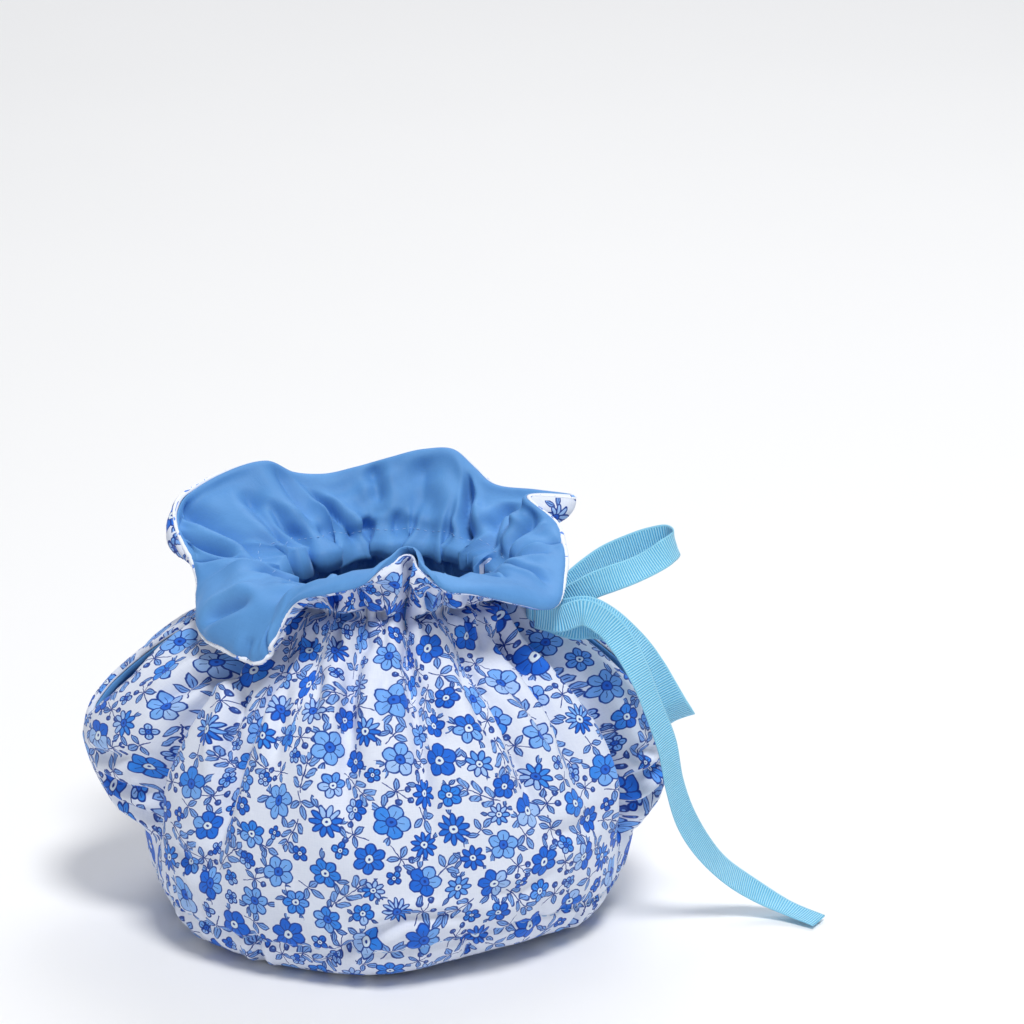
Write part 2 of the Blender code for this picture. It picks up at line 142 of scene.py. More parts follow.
def through(keys, values, at, period=None):
    """A smooth curve through the values at the keys: cubic pieces whose slope at a key follows its neighbours."""
    keys = np.asarray(keys, float)
    values = np.asarray(values, float)
    at = np.asarray(at, float)
    if period:
        keys = np.concatenate([keys[-2:] - period, keys, keys[:2] + period])
        values = np.concatenate([values[-2:], values, values[:2]])
        at = (at - keys[2]) % period + keys[2]
    slopes = np.gradient(values, keys, axis=0)
    span = np.clip(np.searchsorted(keys, at, side="right") - 1, 0, len(keys) - 2)
    width = keys[span + 1] - keys[span]
    t = (at - keys[span]) / width
    if values.ndim > 1:
        t, width = t[..., None], width[..., None]
    start, end = values[span], values[span + 1]
    ease = t * t * (3 - 2 * t)
    leave = t * (1 - t) ** 2 * width * slopes[span]
    arrive = t * t * (t - 1) * width * slopes[span + 1]
    return start + (end - start) * ease + leave + arrive


def column(rows, name):
    return [getattr(row, name) for row in rows]


def angle_from(degrees, centre):
    """How far an angle lies from a centre, from -180 to 180 degrees."""
    return (degrees - centre + 180) % 360 - 180


def ramp(value, low, high):
    """0 below low, 1 above high and smooth between them."""
    t = np.clip((value - low) / (high - low), 0, 1)
    return t * t * (3 - 2 * t)


def unit(vectors):
    return vectors / np.maximum(np.linalg.norm(vectors, axis=-1, keepdims=True), 1e-9)


# %% [markdown]
# ## The ribbon's line
# The ribbon is 9 mm wide and limp. It leaves the knot three times: as an upper loop, as a lower loop and as the free
# tail that hangs to the table. Each table row is a point of its middle line in millimetres from the neck's axis, with
# the direction of its width. The same rows made the solids.

# %% Ribbon tables
CENTRING = np.array([5.0, 0.0, 0.0])
RIBBON_WIDE = 9.0
Turn = namedtuple("Turn", "x y up wide_x wide_y wide_up")
UPPER_LOOP = (
    Turn(55.6, -17.2, 114.4, 0.0, 0.1, 1.0),
    Turn(59.0, -17.4, 115.4, 0.0, 0.1, 1.0),
    Turn(64.5, -17.4, 118.4, 0.0, 0.1, 1.0),
    Turn(70.0, -16.5, 121.2, -0.1, 0.2, 1.0),
    Turn(76.0, -15.0, 123.0, -0.2, 0.4, 0.9),
    Turn(83.0, -12.5, 124.8, -0.2, 0.6, 0.8),
    Turn(89.0, -9.8, 126.9, -0.2, 0.6, 0.8),
    Turn(94.5, -6.5, 129.6, -0.3, 0.3, 0.9),
    Turn(98.0, -1.5, 131.4, -0.3, 0.0, 1.0),
    Turn(95.5, 3.0, 131.8, -0.3, 0.0, 1.0),
    Turn(90.0, 4.0, 130.6, -0.3, 0.0, 1.0),
    Turn(82.0, 3.0, 128.2, -0.2, 0.0, 1.0),
    Turn(73.5, 0.0, 125.2, -0.1, 0.0, 1.0),
    Turn(67.0, -4.0, 121.8, 0.0, 0.0, 1.0),
    Turn(61.5, -8.0, 118.0, 0.0, 0.1, 1.0),
    Turn(57.5, -10.8, 115.8, 0.0, 0.1, 1.0),
    Turn(54.0, -12.6, 115.0, 0.0, 0.1, 1.0),
)
LOWER_LOOP = (
    Turn(53.6, -22.3, 113.8, 0.0, 0.1, 1.0),
    Turn(60.0, -23.8, 114.2, 0.0, 0.2, 1.0),
    Turn(67.0, -24.6, 115.3, 0.1, 0.5, 0.8),
    Turn(75.0, -24.6, 112.5, 0.2, 0.8, 0.5),
    Turn(83.0, -24.6, 104.0, 0.5, 0.6, 0.5),
    Turn(90.0, -24.4, 93.5, 0.8, 0.3, 0.4),
    Turn(97.4, -23.6, 80.0, 0.94, 0.0, 0.34),
    Turn(100.2, -19.6, 74.5, 0.94, 0.0, 0.34),
    Turn(97.8, -14.8, 77.0, 0.94, 0.0, 0.34),
    Turn(91.0, -12.8, 88.0, 0.9, 0.1, 0.4),
    Turn(84.0, -12.6, 97.0, 0.7, 0.3, 0.5),
    Turn(77.0, -13.4, 103.5, 0.5, 0.4, 0.7),
    Turn(70.0, -16.4, 106.6, 0.3, 0.4, 0.8),
    Turn(63.5, -19.5, 107.4, 0.1, 0.2, 0.9),
    Turn(58.5, -20.4, 109.0, 0.0, 0.1, 1.0),
    Turn(55.3, -20.5, 110.2, 0.0, 0.0, 1.0),
)
TAIL = (
    Turn(49.9, -24.5, 113.0, 0.0, 0.0, 1.0),
    Turn(57.5, -27.6, 112.8, 0.1, 0.1, 1.0),
    Turn(66.5, -30.2, 116.0, 0.4, 0.2, 0.9),
    Turn(73.5, -31.8, 112.6, 0.6, 0.3, 0.7),
    Turn(79.5, -34.4, 105.9, 0.65, 0.45, 0.5),
    Turn(84.7, -36.4, 96.5, 0.67, 0.6, 0.3),
    Turn(89.4, -37.2, 84.7, 0.67, 0.7, 0.1),
    Turn(94.0, -36.2, 71.6, 0.67, 0.73, 0.1),
    Turn(97.2, -32.8, 55.0, 0.7, 0.7, 0.1),
    Turn(101.3, -28.4, 41.2, 0.7, 0.7, 0.1),
    Turn(106.8, -24.0, 30.0, 0.65, 0.7, 0.2),
    Turn(114.8, -19.4, 19.0, 0.5, 0.75, 0.3),
    Turn(125.8, -16.0, 9.6, 0.4, 0.8, 0.3),
    Turn(137.0, -17.8, 3.7, 0.38, 0.9, 0.15),
    Turn(148.0, -24.5, 1.6, 0.38, 0.9, 0.1),
)
KNOT_AT = np.array([50.7, -18.3, 114.0])
KNOT_HALF = np.array([3.8, 5.5, 4.6])
KNOT_TURN_DEG = 19.0

# %% [markdown]
# ## From a grid to a mesh
# A sheet of cloth has two sides and an edge. If both sides are grids of the same size, the faces are only index sums:
# the outer grid, the inner grid turned round, and one strip round the border. The same strip closes a thin ribbon.

# %% Sheets from two grids


def sheet_faces(rows, columns):
    """Four-cornered faces of a closed sheet: the outer side, the inner side turned round, and the border strip."""
    index = np.arange(rows * columns).reshape(rows, columns)
    a, b = index[:-1, :-1].ravel(), index[:-1, 1:].ravel()
    c, d = index[1:, 1:].ravel(), index[1:, :-1].ravel()
    outer = np.stack([a, b, c, d], 1)
    inner = outer[:, ::-1] + rows * columns
    loop = np.concatenate([index[0, :-1], index[:-1, -1], index[-1, :0:-1], index[:0:-1, 0]])
    ahead = np.roll(loop, -1)
    edge = np.stack([loop, loop + rows * columns, ahead + rows * columns, ahead], 1)
    return np.concatenate([outer, inner, edge])


def add_mesh(name, points, faces):
    """A smooth mesh from points in millimetres round the neck's axis, put on the root body."""
    mesh = bpy.data.meshes.new(name)
    faces = faces if isinstance(faces, list) else faces.tolist()
    mesh.from_pydata(((points.reshape(-1, 3) + CENTRING) * MM).tolist(), [], faces)
    mesh.shade_smooth()
    made = bpy.data.objects.new(name, mesh)
    bpy.context.scene.collection.objects.link(made)
    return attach(made, "root")


def set_uv(piece, per_corner):
    """Gives each face corner its two flat coordinates, in millimetres of cloth."""
    layer = piece.data.uv_layers.new(name="cloth")
    layer.data.foreach_set("uv", per_corner.astype(np.float32).ravel())


def sheet_piece(name, outer, inner, flat_uv=None):
    """A closed sheet between two grids of points. flat_uv holds one pair of flat coordinates for each grid point."""
    rows, columns = outer.shape[:2]
    faces = sheet_faces(rows, columns)
    piece = add_mesh(name, np.concatenate([outer.reshape(-1, 3), inner.reshape(-1, 3)]), faces)
    if flat_uv is not None:
        both = np.concatenate([flat_uv.reshape(-1, 2)] * 2)
        set_uv(piece, both[faces])
    print(f"{name}: {len(faces) * 2} triangles")
    return piece


# %% [markdown]
# ## The ribbon
# A strip that bends only across its width keeps its true length, so the strip is its middle line swept by a short
# cross section. That section is slightly cupped, as woven ribbon is, and a little thicker at the two woven edges.
# The strip waves softly along its edges, which a flat extrusion would lack.

# %% Ribbon strips
RIBBON_COLUMNS = 14
RIBBON_THIN = 0.45
CUP = 0.35


def strip_frame(turns, steps):
    """Points along the ribbon's line, with the directions across it and out of its face, and the length run."""
    line = np.array([turn[:3] for turn in turns], float)
    wide = np.array([turn[3:] for turn in turns], float)
    keys = np.concatenate([[0.0], np.cumsum(np.linalg.norm(np.diff(line, axis=0), axis=1))])
    at = np.linspace(0.0, keys[-1], steps + 1)
    centre = through(keys, line, at)
    ahead = unit(np.gradient(centre, axis=0))
    across = through(keys, wide, at)
    across = unit(across - (across * ahead).sum(1, keepdims=True) * ahead)
    run = np.concatenate([[0.0], np.cumsum(np.linalg.norm(np.diff(centre, axis=0), axis=1))])
    return centre, across, unit(np.cross(across, ahead)), run


def ribbon_strip(name, turns, phase):
    """Each cross section runs from -half to +half of the width. Its height out of the face is the cup, which is
    highest in the middle, plus a small wave that grows towards the edges."""
    steps = 34 * (len(turns) - 1) // 2
    centre, across, out, run = strip_frame(turns, steps)
    side = np.linspace(-1.0, 1.0, RIBBON_COLUMNS + 1)
    wave = 0.22 * np.sin(run[:, None] / 6.1 + phase + 1.4 * side) * np.abs(side) ** 1.5
    height = CUP * (1 - side**2) - 0.5 * CUP + wave
    thick = RIBBON_THIN / 2 * (1 + 0.45 * (np.abs(side) > 0.86)) + 0 * height
    thick[:, [0, -1]] *= 0.55
    flat = centre[:, None] + across[:, None] * (side * RIBBON_WIDE / 2)[None, :, None]
    outer = flat + out[:, None] * (height + thick)[..., None]
    inner = flat + out[:, None] * (height - thick)[..., None]
    uv = np.stack(np.broadcast_arrays(side * RIBBON_WIDE / 2, run[:, None]), -1)
    piece = sheet_piece(name, outer, inner, uv)
    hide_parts(name.replace("bow_", "ribbon_"))
    path = (centre + CENTRING) * MM
    return piece, path, run[-1] * MM


upper_loop, upper_path, upper_length = ribbon_strip("bow_loop_upper", UPPER_LOOP, 0.4)
lower_loop, lower_path, lower_length = ribbon_strip("bow_loop_lower", LOWER_LOOP, 2.1)
tail, tail_path, tail_length = ribbon_strip("bow_tail", TAIL, 4.0)

# %% [markdown]
# ## The knot
# A ribbon knot is the ribbon itself, wrapped once round the crossing and pulled tight. A rounded block is close, and
# three shallow furrows round it and a pinch in the middle make it read as a band that was pulled tight over itself.

# %% Knot
KNOT_STEPS = 72
KNOT_BANDS = 40


def ribbon_knot():
    """A ball whose coordinates are raised to the power 0.7, which makes it boxy. The radius has shallow furrows that
    run round it and is drawn in at the middle."""
    lift = np.linspace(-math.pi / 2, math.pi / 2, KNOT_BANDS + 1)[1:-1, None]
    turn = np.linspace(0.0, 2 * math.pi, KNOT_STEPS, endpoint=False)[None, :]
    ball = np.stack(np.broadcast_arrays(
        np.cos(lift) * np.cos(turn), np.cos(lift) * np.sin(turn), np.sin(lift)), -1)
    ball = np.sign(ball) * np.abs(ball) ** 0.7
    furrow = 1 - 0.05 * np.abs(np.cos(2.5 * turn + 0.7 * np.sin(lift))) ** 6 * np.cos(lift)
    pinch = 1 - 0.10 * np.exp(-((lift / 0.35) ** 2))
    shape = ball * (furrow * pinch * 0.98)[..., None] * KNOT_HALF
    poles = np.array([[0, 0, -0.93], [0, 0, 0.93]]) * KNOT_HALF
    points = np.concatenate([shape.reshape(-1, 3), poles])
    spin = math.radians(-KNOT_TURN_DEG)
    turned = points.copy()
    turned[:, 0] = points[:, 0] * math.cos(spin) - points[:, 1] * math.sin(spin)
    turned[:, 1] = points[:, 0] * math.sin(spin) + points[:, 1] * math.cos(spin)
    index = np.arange(shape.size // 3).reshape(shape.shape[:2])
    after = np.roll(index, -1, axis=1)
    walls = np.stack([index[:-1], after[:-1], after[1:], index[1:]], -1).reshape(-1, 4)
    low = np.stack([np.full(KNOT_STEPS, index.size), after[0], index[0]], 1)
    high = np.stack([np.full(KNOT_STEPS, index.size + 1), index[-1], after[-1]], 1)
    faces = walls.tolist() + low.tolist() + high.tolist()
    piece = add_mesh("bow_knot", turned + KNOT_AT, faces)
    around = np.stack(np.broadcast_arrays(np.sin(lift) * 4.5, turn * 5.0), -1).reshape(-1, 2)
    around = np.concatenate([around, [[-4.5, 0], [4.5, 0]]])
    set_uv(piece, np.concatenate([around[face] for face in faces]))
    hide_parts("ribbon_knot")
    print(f"bow_knot: {len(faces)} faces")
    return piece


knot = ribbon_knot()

# %% [markdown]
# The loops and the tail are limp ribbon: each is a length of ribbon tied at one place. The loops end in the knot again.
# The tail's free end is a bare cut end, as the photo shows.

print("ribbon lengths in mm:", [round(x / MM) for x in (upper_length, lower_length, tail_length)])

# %% [markdown]
# ## The cosy's main surface
# The whole cosy is one smooth surface of two parameters: an angle round the neck, and a row that runs from 0 at the
# curled hem through 1 at the neck to 2 at the collar's edge. The body is a profile turned round the neck, pushed out
# over the two side openings and pressed in by the main valleys. The collar is a fan of cubic curves from the neck
# to an edge that a table gives. The solids were made from the same tables, so the finer cloth lies where they are.

# %% Body tables
OUTER_THICK = 2.4
LINING_THICK = 2.0
HALF_GAP = 0.2
HEM_UP = OUTER_THICK + HALF_GAP
NECK_UP = 118.0
COLLAR_LIFT = 12.0
HEM_FLAT_OUT = 64.5
FOOT_TOP = 50.0
LEFT_SIDE = 270.0
RIGHT_SIDE = 90.0

Ring = namedtuple("Ring", "out up")
BODY_RINGS = (
    Ring(56.0, HEM_UP), Ring(HEM_FLAT_OUT, HEM_UP), Ring(71.0, 5.5), Ring(76.5, 13.0), Ring(80.0, 24.0),
    Ring(81.5, 38.0), Ring(81.0, 54.0), Ring(77.5, 70.0), Ring(72.0, 82.5), Ring(63.5, 93.0), Ring(54.0, 101.5),
    Ring(46.5, 109.0), Ring(41.0, NECK_UP),
)
Bulge = namedtuple("Bulge", "up reach spread")
LEFT_BULGE = (
    Bulge(24, 0.0, 13), Bulge(31, 1.0, 13), Bulge(36, 7.5, 14), Bulge(41, 13.5, 15), Bulge(46, 16.5, 16),
    Bulge(54, 20.5, 18), Bulge(63, 24.5, 20), Bulge(71, 25.5, 21), Bulge(77, 24.0, 22), Bulge(85, 20.0, 24),
    Bulge(95, 16.0, 25), Bulge(105, 10.5, 27), Bulge(112, 2.5, 29), Bulge(118, 0.0, 30),
)
RIGHT_BULGE = (
    Bulge(24, 0.0, 13), Bulge(33, 0.5, 13), Bulge(38, 5.5, 14), Bulge(43, 10.0, 15), Bulge(48, 12.5, 16),
    Bulge(56, 13.0, 18), Bulge(66, 12.5, 19), Bulge(76, 12.0, 20), Bulge(86, 11.0, 22), Bulge(96, 8.5, 24),
    Bulge(105, 4.5, 26), Bulge(112, 1.0, 28), Bulge(118, 0.0, 28),
)
Slit = namedtuple("Slit", "up half")
LEFT_SLIT = (
    Slit(62, 0.0), Slit(67, 0.0), Slit(72, 6.0), Slit(79, 11.0), Slit(86, 11.5), Slit(92, 8.0), Slit(99, 4.0),
    Slit(106, 2.0), Slit(110, 0.0), Slit(118, 0.0),
)
RIGHT_SLIT = (
    Slit(48, 0.0), Slit(53, 0.0), Slit(58, 4.5), Slit(66, 7.5), Slit(76, 8.5), Slit(88, 8.5), Slit(96, 6.5),
    Slit(102, 3.5), Slit(108, 1.5), Slit(112, 0.0), Slit(118, 0.0),
)
Foot = namedtuple("Foot", "deg push lift")
FOOT = (
    Foot(0, 0.0, 0.5), Foot(20, -1.0, 3.5), Foot(40, -1.0, 4.5), Foot(60, 0.0, 2.0), Foot(80, 0.5, 0.0),
    Foot(130, 0.0, 0.0), Foot(180, -1.0, 0.0), Foot(230, 1.0, 0.0), Foot(265, 3.0, 0.0), Foot(300, 3.0, 0.0),
    Foot(325, 1.5, 0.0), Foot(345, 0.5, 0.0),
)
Valley = namedtuple("Valley", "top_deg foot_deg depth half low")
VALLEYS = (
    Valley(9, 11, 3.4, 6, 52), Valley(28, 41, 3.0, 7, 42), Valley(47, 56, 2.4, 7, 48), Valley(66, 74, 4.2, 7, 22),
    Valley(112, 106, 4.0, 7, 24), Valley(131, 127, 2.8, 7, 44), Valley(149, 151, 3.4, 7, 38),
    Valley(168, 166, 2.6, 6, 54), Valley(186, 189, 3.2, 7, 46), Valley(204, 202, 2.6, 7, 56),
    Valley(222, 226, 3.4, 7, 40), Valley(243, 252, 4.2, 7, 24), Valley(306, 287, 4.6, 7, 26),
    Valley(323, 317, 4.4, 6, 36), Valley(335, 335, 2.2, 6, 66), Valley(349, 352, 3.0, 6, 54),
)

# %% Collar table
Rim = namedtuple("Rim", "neck_deg x y up lean tuck rise")
RIM = (
    Rim(8, 7, -43, 140, 0, 0, -10), Rim(19, 18, -54, 134, 2, 7, 3), Rim(33, 29, -54, 131, 2, 8, 4),
    Rim(47, 44, -46, 125, 2, 8, 5), Rim(61, 56, -36, 120, 1, 8, 7), Rim(76, 60, -16, 125, 0, 6, 2),
    Rim(90, 60, 2, 129, 0, 5, -2), Rim(101, 57, 14, 134, 0, 5, -6), Rim(110, 48, 21, 141, 0, 1, -12),
    Rim(119, 63, 29, 139, 0, 3, -10), Rim(129, 50, 38, 138, 0, 2, -12), Rim(140, 36, 45, 138, 0, 2, -12),
    Rim(149, 29, 52, 142, 0, 2, -12), Rim(158, 22, 57, 147, 0, 3, -12), Rim(169, 11, 58, 147, 0, 3, -12),
    Rim(181, -1, 58, 144, 0, 3, -12), Rim(193, -13, 56, 141, 0, 3, -12), Rim(205, -25, 54, 139, 0, 3, -12),
    Rim(214, -35, 53, 140, 0, 3, -12), Rim(224, -45, 50, 145, 0, 4, -12), Rim(235, -59, 41, 143, 5, -2, -11),
    Rim(246, -72, 27, 137, 11, -8, -11), Rim(257, -73, 15, 132, 12, -7, -10), Rim(267, -69, 5, 125, 7, 3, -7),
    Rim(277, -65, -4, 118, 3, 7, 2), Rim(287, -64, -14, 112, 2, 5, 11), Rim(297, -63, -27, 108, 2, 5, 15),
    Rim(308, -54, -40, 107, 2, 5, 17), Rim(318, -40, -51, 106, 2, 4, 19), Rim(327, -35, -52, 116, 2, 4, 13),
    Rim(335, -30, -51, 126, 2, 6, 6), Rim(346, -18, -55, 132, 2, 8, 4), Rim(357, -6, -54, 135, 2, 7, 3),
)

# %% The surface as a function


def polar(degrees, out, up):
    turn = np.radians(degrees)
    return np.stack([out * np.sin(turn), -out * np.cos(turn), up + 0 * out], axis=-1)


def bulge(rows, side, degrees, up):
    """How far the cloth is pushed out: the reach at this height, times a bell curve of the angle from the side."""
    heights = column(rows, "up")
    reach = np.interp(up, heights, column(rows, "reach"))
    spread = np.interp(up, heights, column(rows, "spread"))
    return reach * np.exp(-((angle_from(degrees, side) / spread) ** 2))


def valley_centre(row, up):
    """A valley's angle at this height: it slants from its angle at the neck to its angle at the foot."""
    share = np.clip((NECK_UP - up) / (NECK_UP - row.low), 0, 1)
    return row.top_deg + share * angle_from(row.foot_deg, row.top_deg), share


def valleys(degrees, up, out):
    """The depth of the main valleys: for each, a bell curve of the distance from its centre, faded at both ends."""
    depth = np.zeros(np.broadcast(degrees, up).shape)
    for row in VALLEYS:
        centre, share = valley_centre(row, up)
        aside = np.radians(angle_from(degrees, centre)) * out
        strength = ramp(up, row.low - 12, row.low + 28) * (1 - 0.7 * ramp(up, 96, 114))
        depth += row.depth * strength * np.exp(-((aside / (row.half * (0.55 + 0.45 * share))) ** 2))
    return depth


def valley_lines(degrees, up, out):
    """A sharp crease along the bottom of each valley, where the gathered print is cut: it grows towards the neck."""
    depth = np.zeros(degrees.shape)
    for row in VALLEYS:
        centre, share = valley_centre(row, up)
        aside = np.radians(angle_from(degrees, centre)) * out
        depth += 1.05 * row.depth * ramp(up, row.low + 2, row.low + 40) * np.exp(-np.abs(aside) / 2.2)
    return depth


RING_LENGTHS = np.concatenate([[0.0], np.cumsum(np.linalg.norm(np.diff(np.array(BODY_RINGS), axis=0), axis=1))])
BODY_LONG = RING_LENGTHS[-1]


def body_point(degrees, share):
    """The body: the profile at this share of its length, turned by the angle, with the radius changed by the two
    bulges, the foot's push, the valleys and eighteen even pleats at the neck."""
    at = np.clip(share, -0.02, 1.0) * BODY_LONG
    out = through(RING_LENGTHS, column(BODY_RINGS, "out"), at)
    up = np.maximum(through(RING_LENGTHS, column(BODY_RINGS, "up"), at), HEM_UP)
    pushed = bulge(LEFT_BULGE, LEFT_SIDE, degrees, up) + bulge(RIGHT_BULGE, RIGHT_SIDE, degrees, up)
    foot = through(column(FOOT, "deg"), np.array([(row.push, row.lift) for row in FOOT]), degrees, 360)
    low = 1 - ramp(up, HEM_UP, FOOT_TOP)
    pushed += foot[..., 0] * low * ramp(share, 0.0, 0.12)
    pleats = -1.6 * np.exp(-(((up - NECK_UP) / 13.0) ** 2)) * np.cos(np.radians(degrees * 18))
    return polar(degrees, out + pushed - valleys(degrees, up, out) + pleats, up + foot[..., 1] * low)


def collar_point(degrees, share):
    """The collar: a cubic curve from the neck (0) to the edge (1), through two guides. The lower one stands above
    the neck, and the upper one is tucked in from the edge."""
    neck = body_point(degrees, np.ones_like(degrees))
    angles = column(RIM, "neck_deg")
    edge = through(angles, np.array([row[1:4] for row in RIM], float), degrees, 360)
    hold = through(angles, np.array([row[4:] for row in RIM], float), degrees, 360)
    inward = unit(neck[..., :2] - edge[..., :2])
    upper = edge.copy()
    upper[..., :2] += hold[..., 1:2] * inward
    upper[..., 2] += hold[..., 2]
    lower = neck + np.array([0, 0, COLLAR_LIFT])
    lower[..., :2] -= hold[..., :1] * inward
    t = share[..., None]
    return (1 - t) ** 3 * neck + 3 * t * (1 - t) ** 2 * lower + 3 * t * t * (1 - t) * upper + t**3 * edge


def cosy_point(degrees, row):
    """The middle surface: the body up to row 1 and the collar from row 1 to row 2."""
    degrees, row = np.broadcast_arrays(np.asarray(degrees, float), np.asarray(row, float))
    low = body_point(degrees, np.minimum(row, 1.0))
    high = collar_point(degrees, np.maximum(row, 1.0) - 1.0)
    return np.where((row <= 1.0)[..., None], low, high)


def cosy_normal(degrees, row):
    """The outward direction: the cross product of the steps to the points on each side."""
    along = cosy_point(degrees + 2.5, row) - cosy_point(degrees - 2.5, row)
    rise = cosy_point(degrees, row + 0.02) - cosy_point(degrees, np.maximum(row - 0.02, 0))
    return unit(np.cross(along, rise))


def seam_half_angle(rows, side, row):
    """Half the angle between the two panels at a side: nothing where they are stitched, and the opening between."""
    middle = cosy_point(np.full_like(row, side), row)
    out = np.linalg.norm(middle[..., :2], axis=-1)
    half = np.interp(middle[..., 2], column(rows, "up"), column(rows, "half"))
    return np.degrees(np.where(row > 1.0, 0.0, half) / out)


print(f"the body is {BODY_LONG:.0f} mm of cloth from the hem to the neck")

# %% [markdown]
# ## Folds
# Cloth shows what holds it through its folds. Here the drawstring makes small sharp pleats at the neck, long soft
# creases run down from them, and the elastic in the hem puckers its band. A simulation would find folds of its own,
# and not the ones of the photo, so they are written down: each crease is a line over the surface with a depth and a
# width. The cloth sinks along the line and swells a little on both sides, as padded cloth does.

# %% Crease tables
COLLAR_LONG = 36.0
HEM_BAND = 27.0
BODY_DEPTH = 2.0
COLLAR_DEPTH = 2.3
Crease = namedtuple("Crease", "depth half line")
BODY_CREASES = (
    Crease(2.4, 2.6, ((311, 0.80), (303, 0.78), (295, 0.755), (292, 0.69), (290, 0.65))),
    Crease(3.0, 2.6, ((311, 0.82), (315, 0.715), (315.5, 0.65), (317, 0.52))),
    Crease(1.1, 4.0, ((291, 0.56), (290, 0.50), (289, 0.42))),
    Crease(1.6, 2.4, ((345, 0.92), (348, 0.80), (349.5, 0.66))),
    Crease(1.5, 2.0, ((10, 0.96), (8, 0.86))),
    Crease(1.2, 2.6, ((16, 0.80), (14.5, 0.67))),
    Crease(1.7, 2.6, ((28, 0.92), (27.5, 0.73), (30, 0.62))),
    Crease(1.8, 2.4, ((49, 0.94), (52, 0.84), (55, 0.75))),
    Crease(2.2, 3.0, ((69, 0.57), (69.5, 0.44), (75, 0.34), (78, 0.28))),
    Crease(1.6, 2.0, ((86, 0.47), (77, 0.465), (72, 0.47))),
    Crease(1.6, 1.8, ((86, 0.43), (78, 0.405), (72, 0.39))),
    Crease(1.3, 1.8, ((85, 0.50), (77, 0.52), (73, 0.545))),
    Crease(1.1, 3.4, ((38, 0.43), (50, 0.42), (62, 0.41))),
    Crease(1.3, 2.0, ((340, 0.10), (346, 0.155), (352, 0.20), (359, 0.255), (5, 0.285), (15, 0.27), (28, 0.225))),
    Crease(1.2, 1.8, ((325, 0.05), (326, 0.13), (328, 0.22))),
    Crease(1.2, 1.8, ((24, 0.05), (23, 0.12), (20, 0.20))),
    Crease(1.0, 1.8, ((300, 0.05), (302, 0.20))),
    Crease(1.0, 1.8, ((58, 0.05), (56, 0.20))),
    Crease(1.5, 1.5, ((330, 0.90), (327.5, 1.0))),
    Crease(1.5, 1.5, ((342, 0.90), (340.5, 1.0))),
    Crease(1.5, 1.5, ((353.5, 0.91), (352, 1.02))),
    Crease(1.3, 1.5, ((39.5, 0.88), (45.5, 0.99))),
    Crease(1.3, 1.5, ((50, 0.87), (54.5, 0.98))),
    Crease(1.3, 2.2, ((326, 0.84), (331, 0.70), (332, 0.60))),
    Crease(1.2, 2.4, ((2, 0.88), (358, 0.72))),
    Crease(1.2, 2.2, ((337, 0.86), (341, 0.72))),
    Crease(1.3, 2.2, ((38, 0.86), (44, 0.70), (47, 0.60))),
    Crease(1.2, 2.2, ((60, 0.88), (64, 0.76), (66, 0.66))),
    Crease(1.4, 2.0, ((275, 0.50), (284, 0.52), (289, 0.54))),
    Crease(1.5, 1.9, ((275, 0.45), (284, 0.44), (291, 0.43))),
    Crease(1.4, 1.9, ((274, 0.41), (283, 0.38), (290, 0.35))),
    Crease(0.9, 3.2, ((300, 0.36), (310, 0.33), (322, 0.35))),
    Crease(0.8, 3.0, ((22, 0.32), (33, 0.30), (44, 0.33))),
    Crease(1.8, 2.6, ((112, 0.86), (108, 0.70), (106, 0.52))),
    Crease(1.4, 2.4, ((128, 0.93), (127, 0.80), (124, 0.68))),
    Crease(1.8, 2.6, ((150, 0.94), (151, 0.78), (152, 0.62))),
    Crease(1.3, 2.4, ((170, 0.92), (168, 0.74))),
    Crease(1.6, 2.4, ((186, 0.93), (189, 0.78), (190, 0.66))),
    Crease(1.3, 2.2, ((205, 0.94), (202, 0.76))),
    Crease(1.8, 2.6, ((226, 0.93), (228, 0.78), (226, 0.62))),
    Crease(2.0, 2.6, ((247, 0.86), (251, 0.70), (252, 0.50))),
    Crease(1.5, 1.9, ((95, 0.47), (104, 0.46))),
    Crease(1.5, 1.9, ((95, 0.42), (103, 0.39))),
    Crease(1.4, 2.0, ((265, 0.50), (256, 0.53))),
    Crease(1.5, 1.9, ((265, 0.44), (255, 0.42))),
    Crease(1.0, 3.2, ((116, 0.40), (128, 0.42), (142, 0.40))),
    Crease(0.9, 3.2, ((170, 0.28), (180, 0.30), (190, 0.28))),
    Crease(1.0, 3.2, ((206, 0.40), (218, 0.37), (232, 0.40))),
)
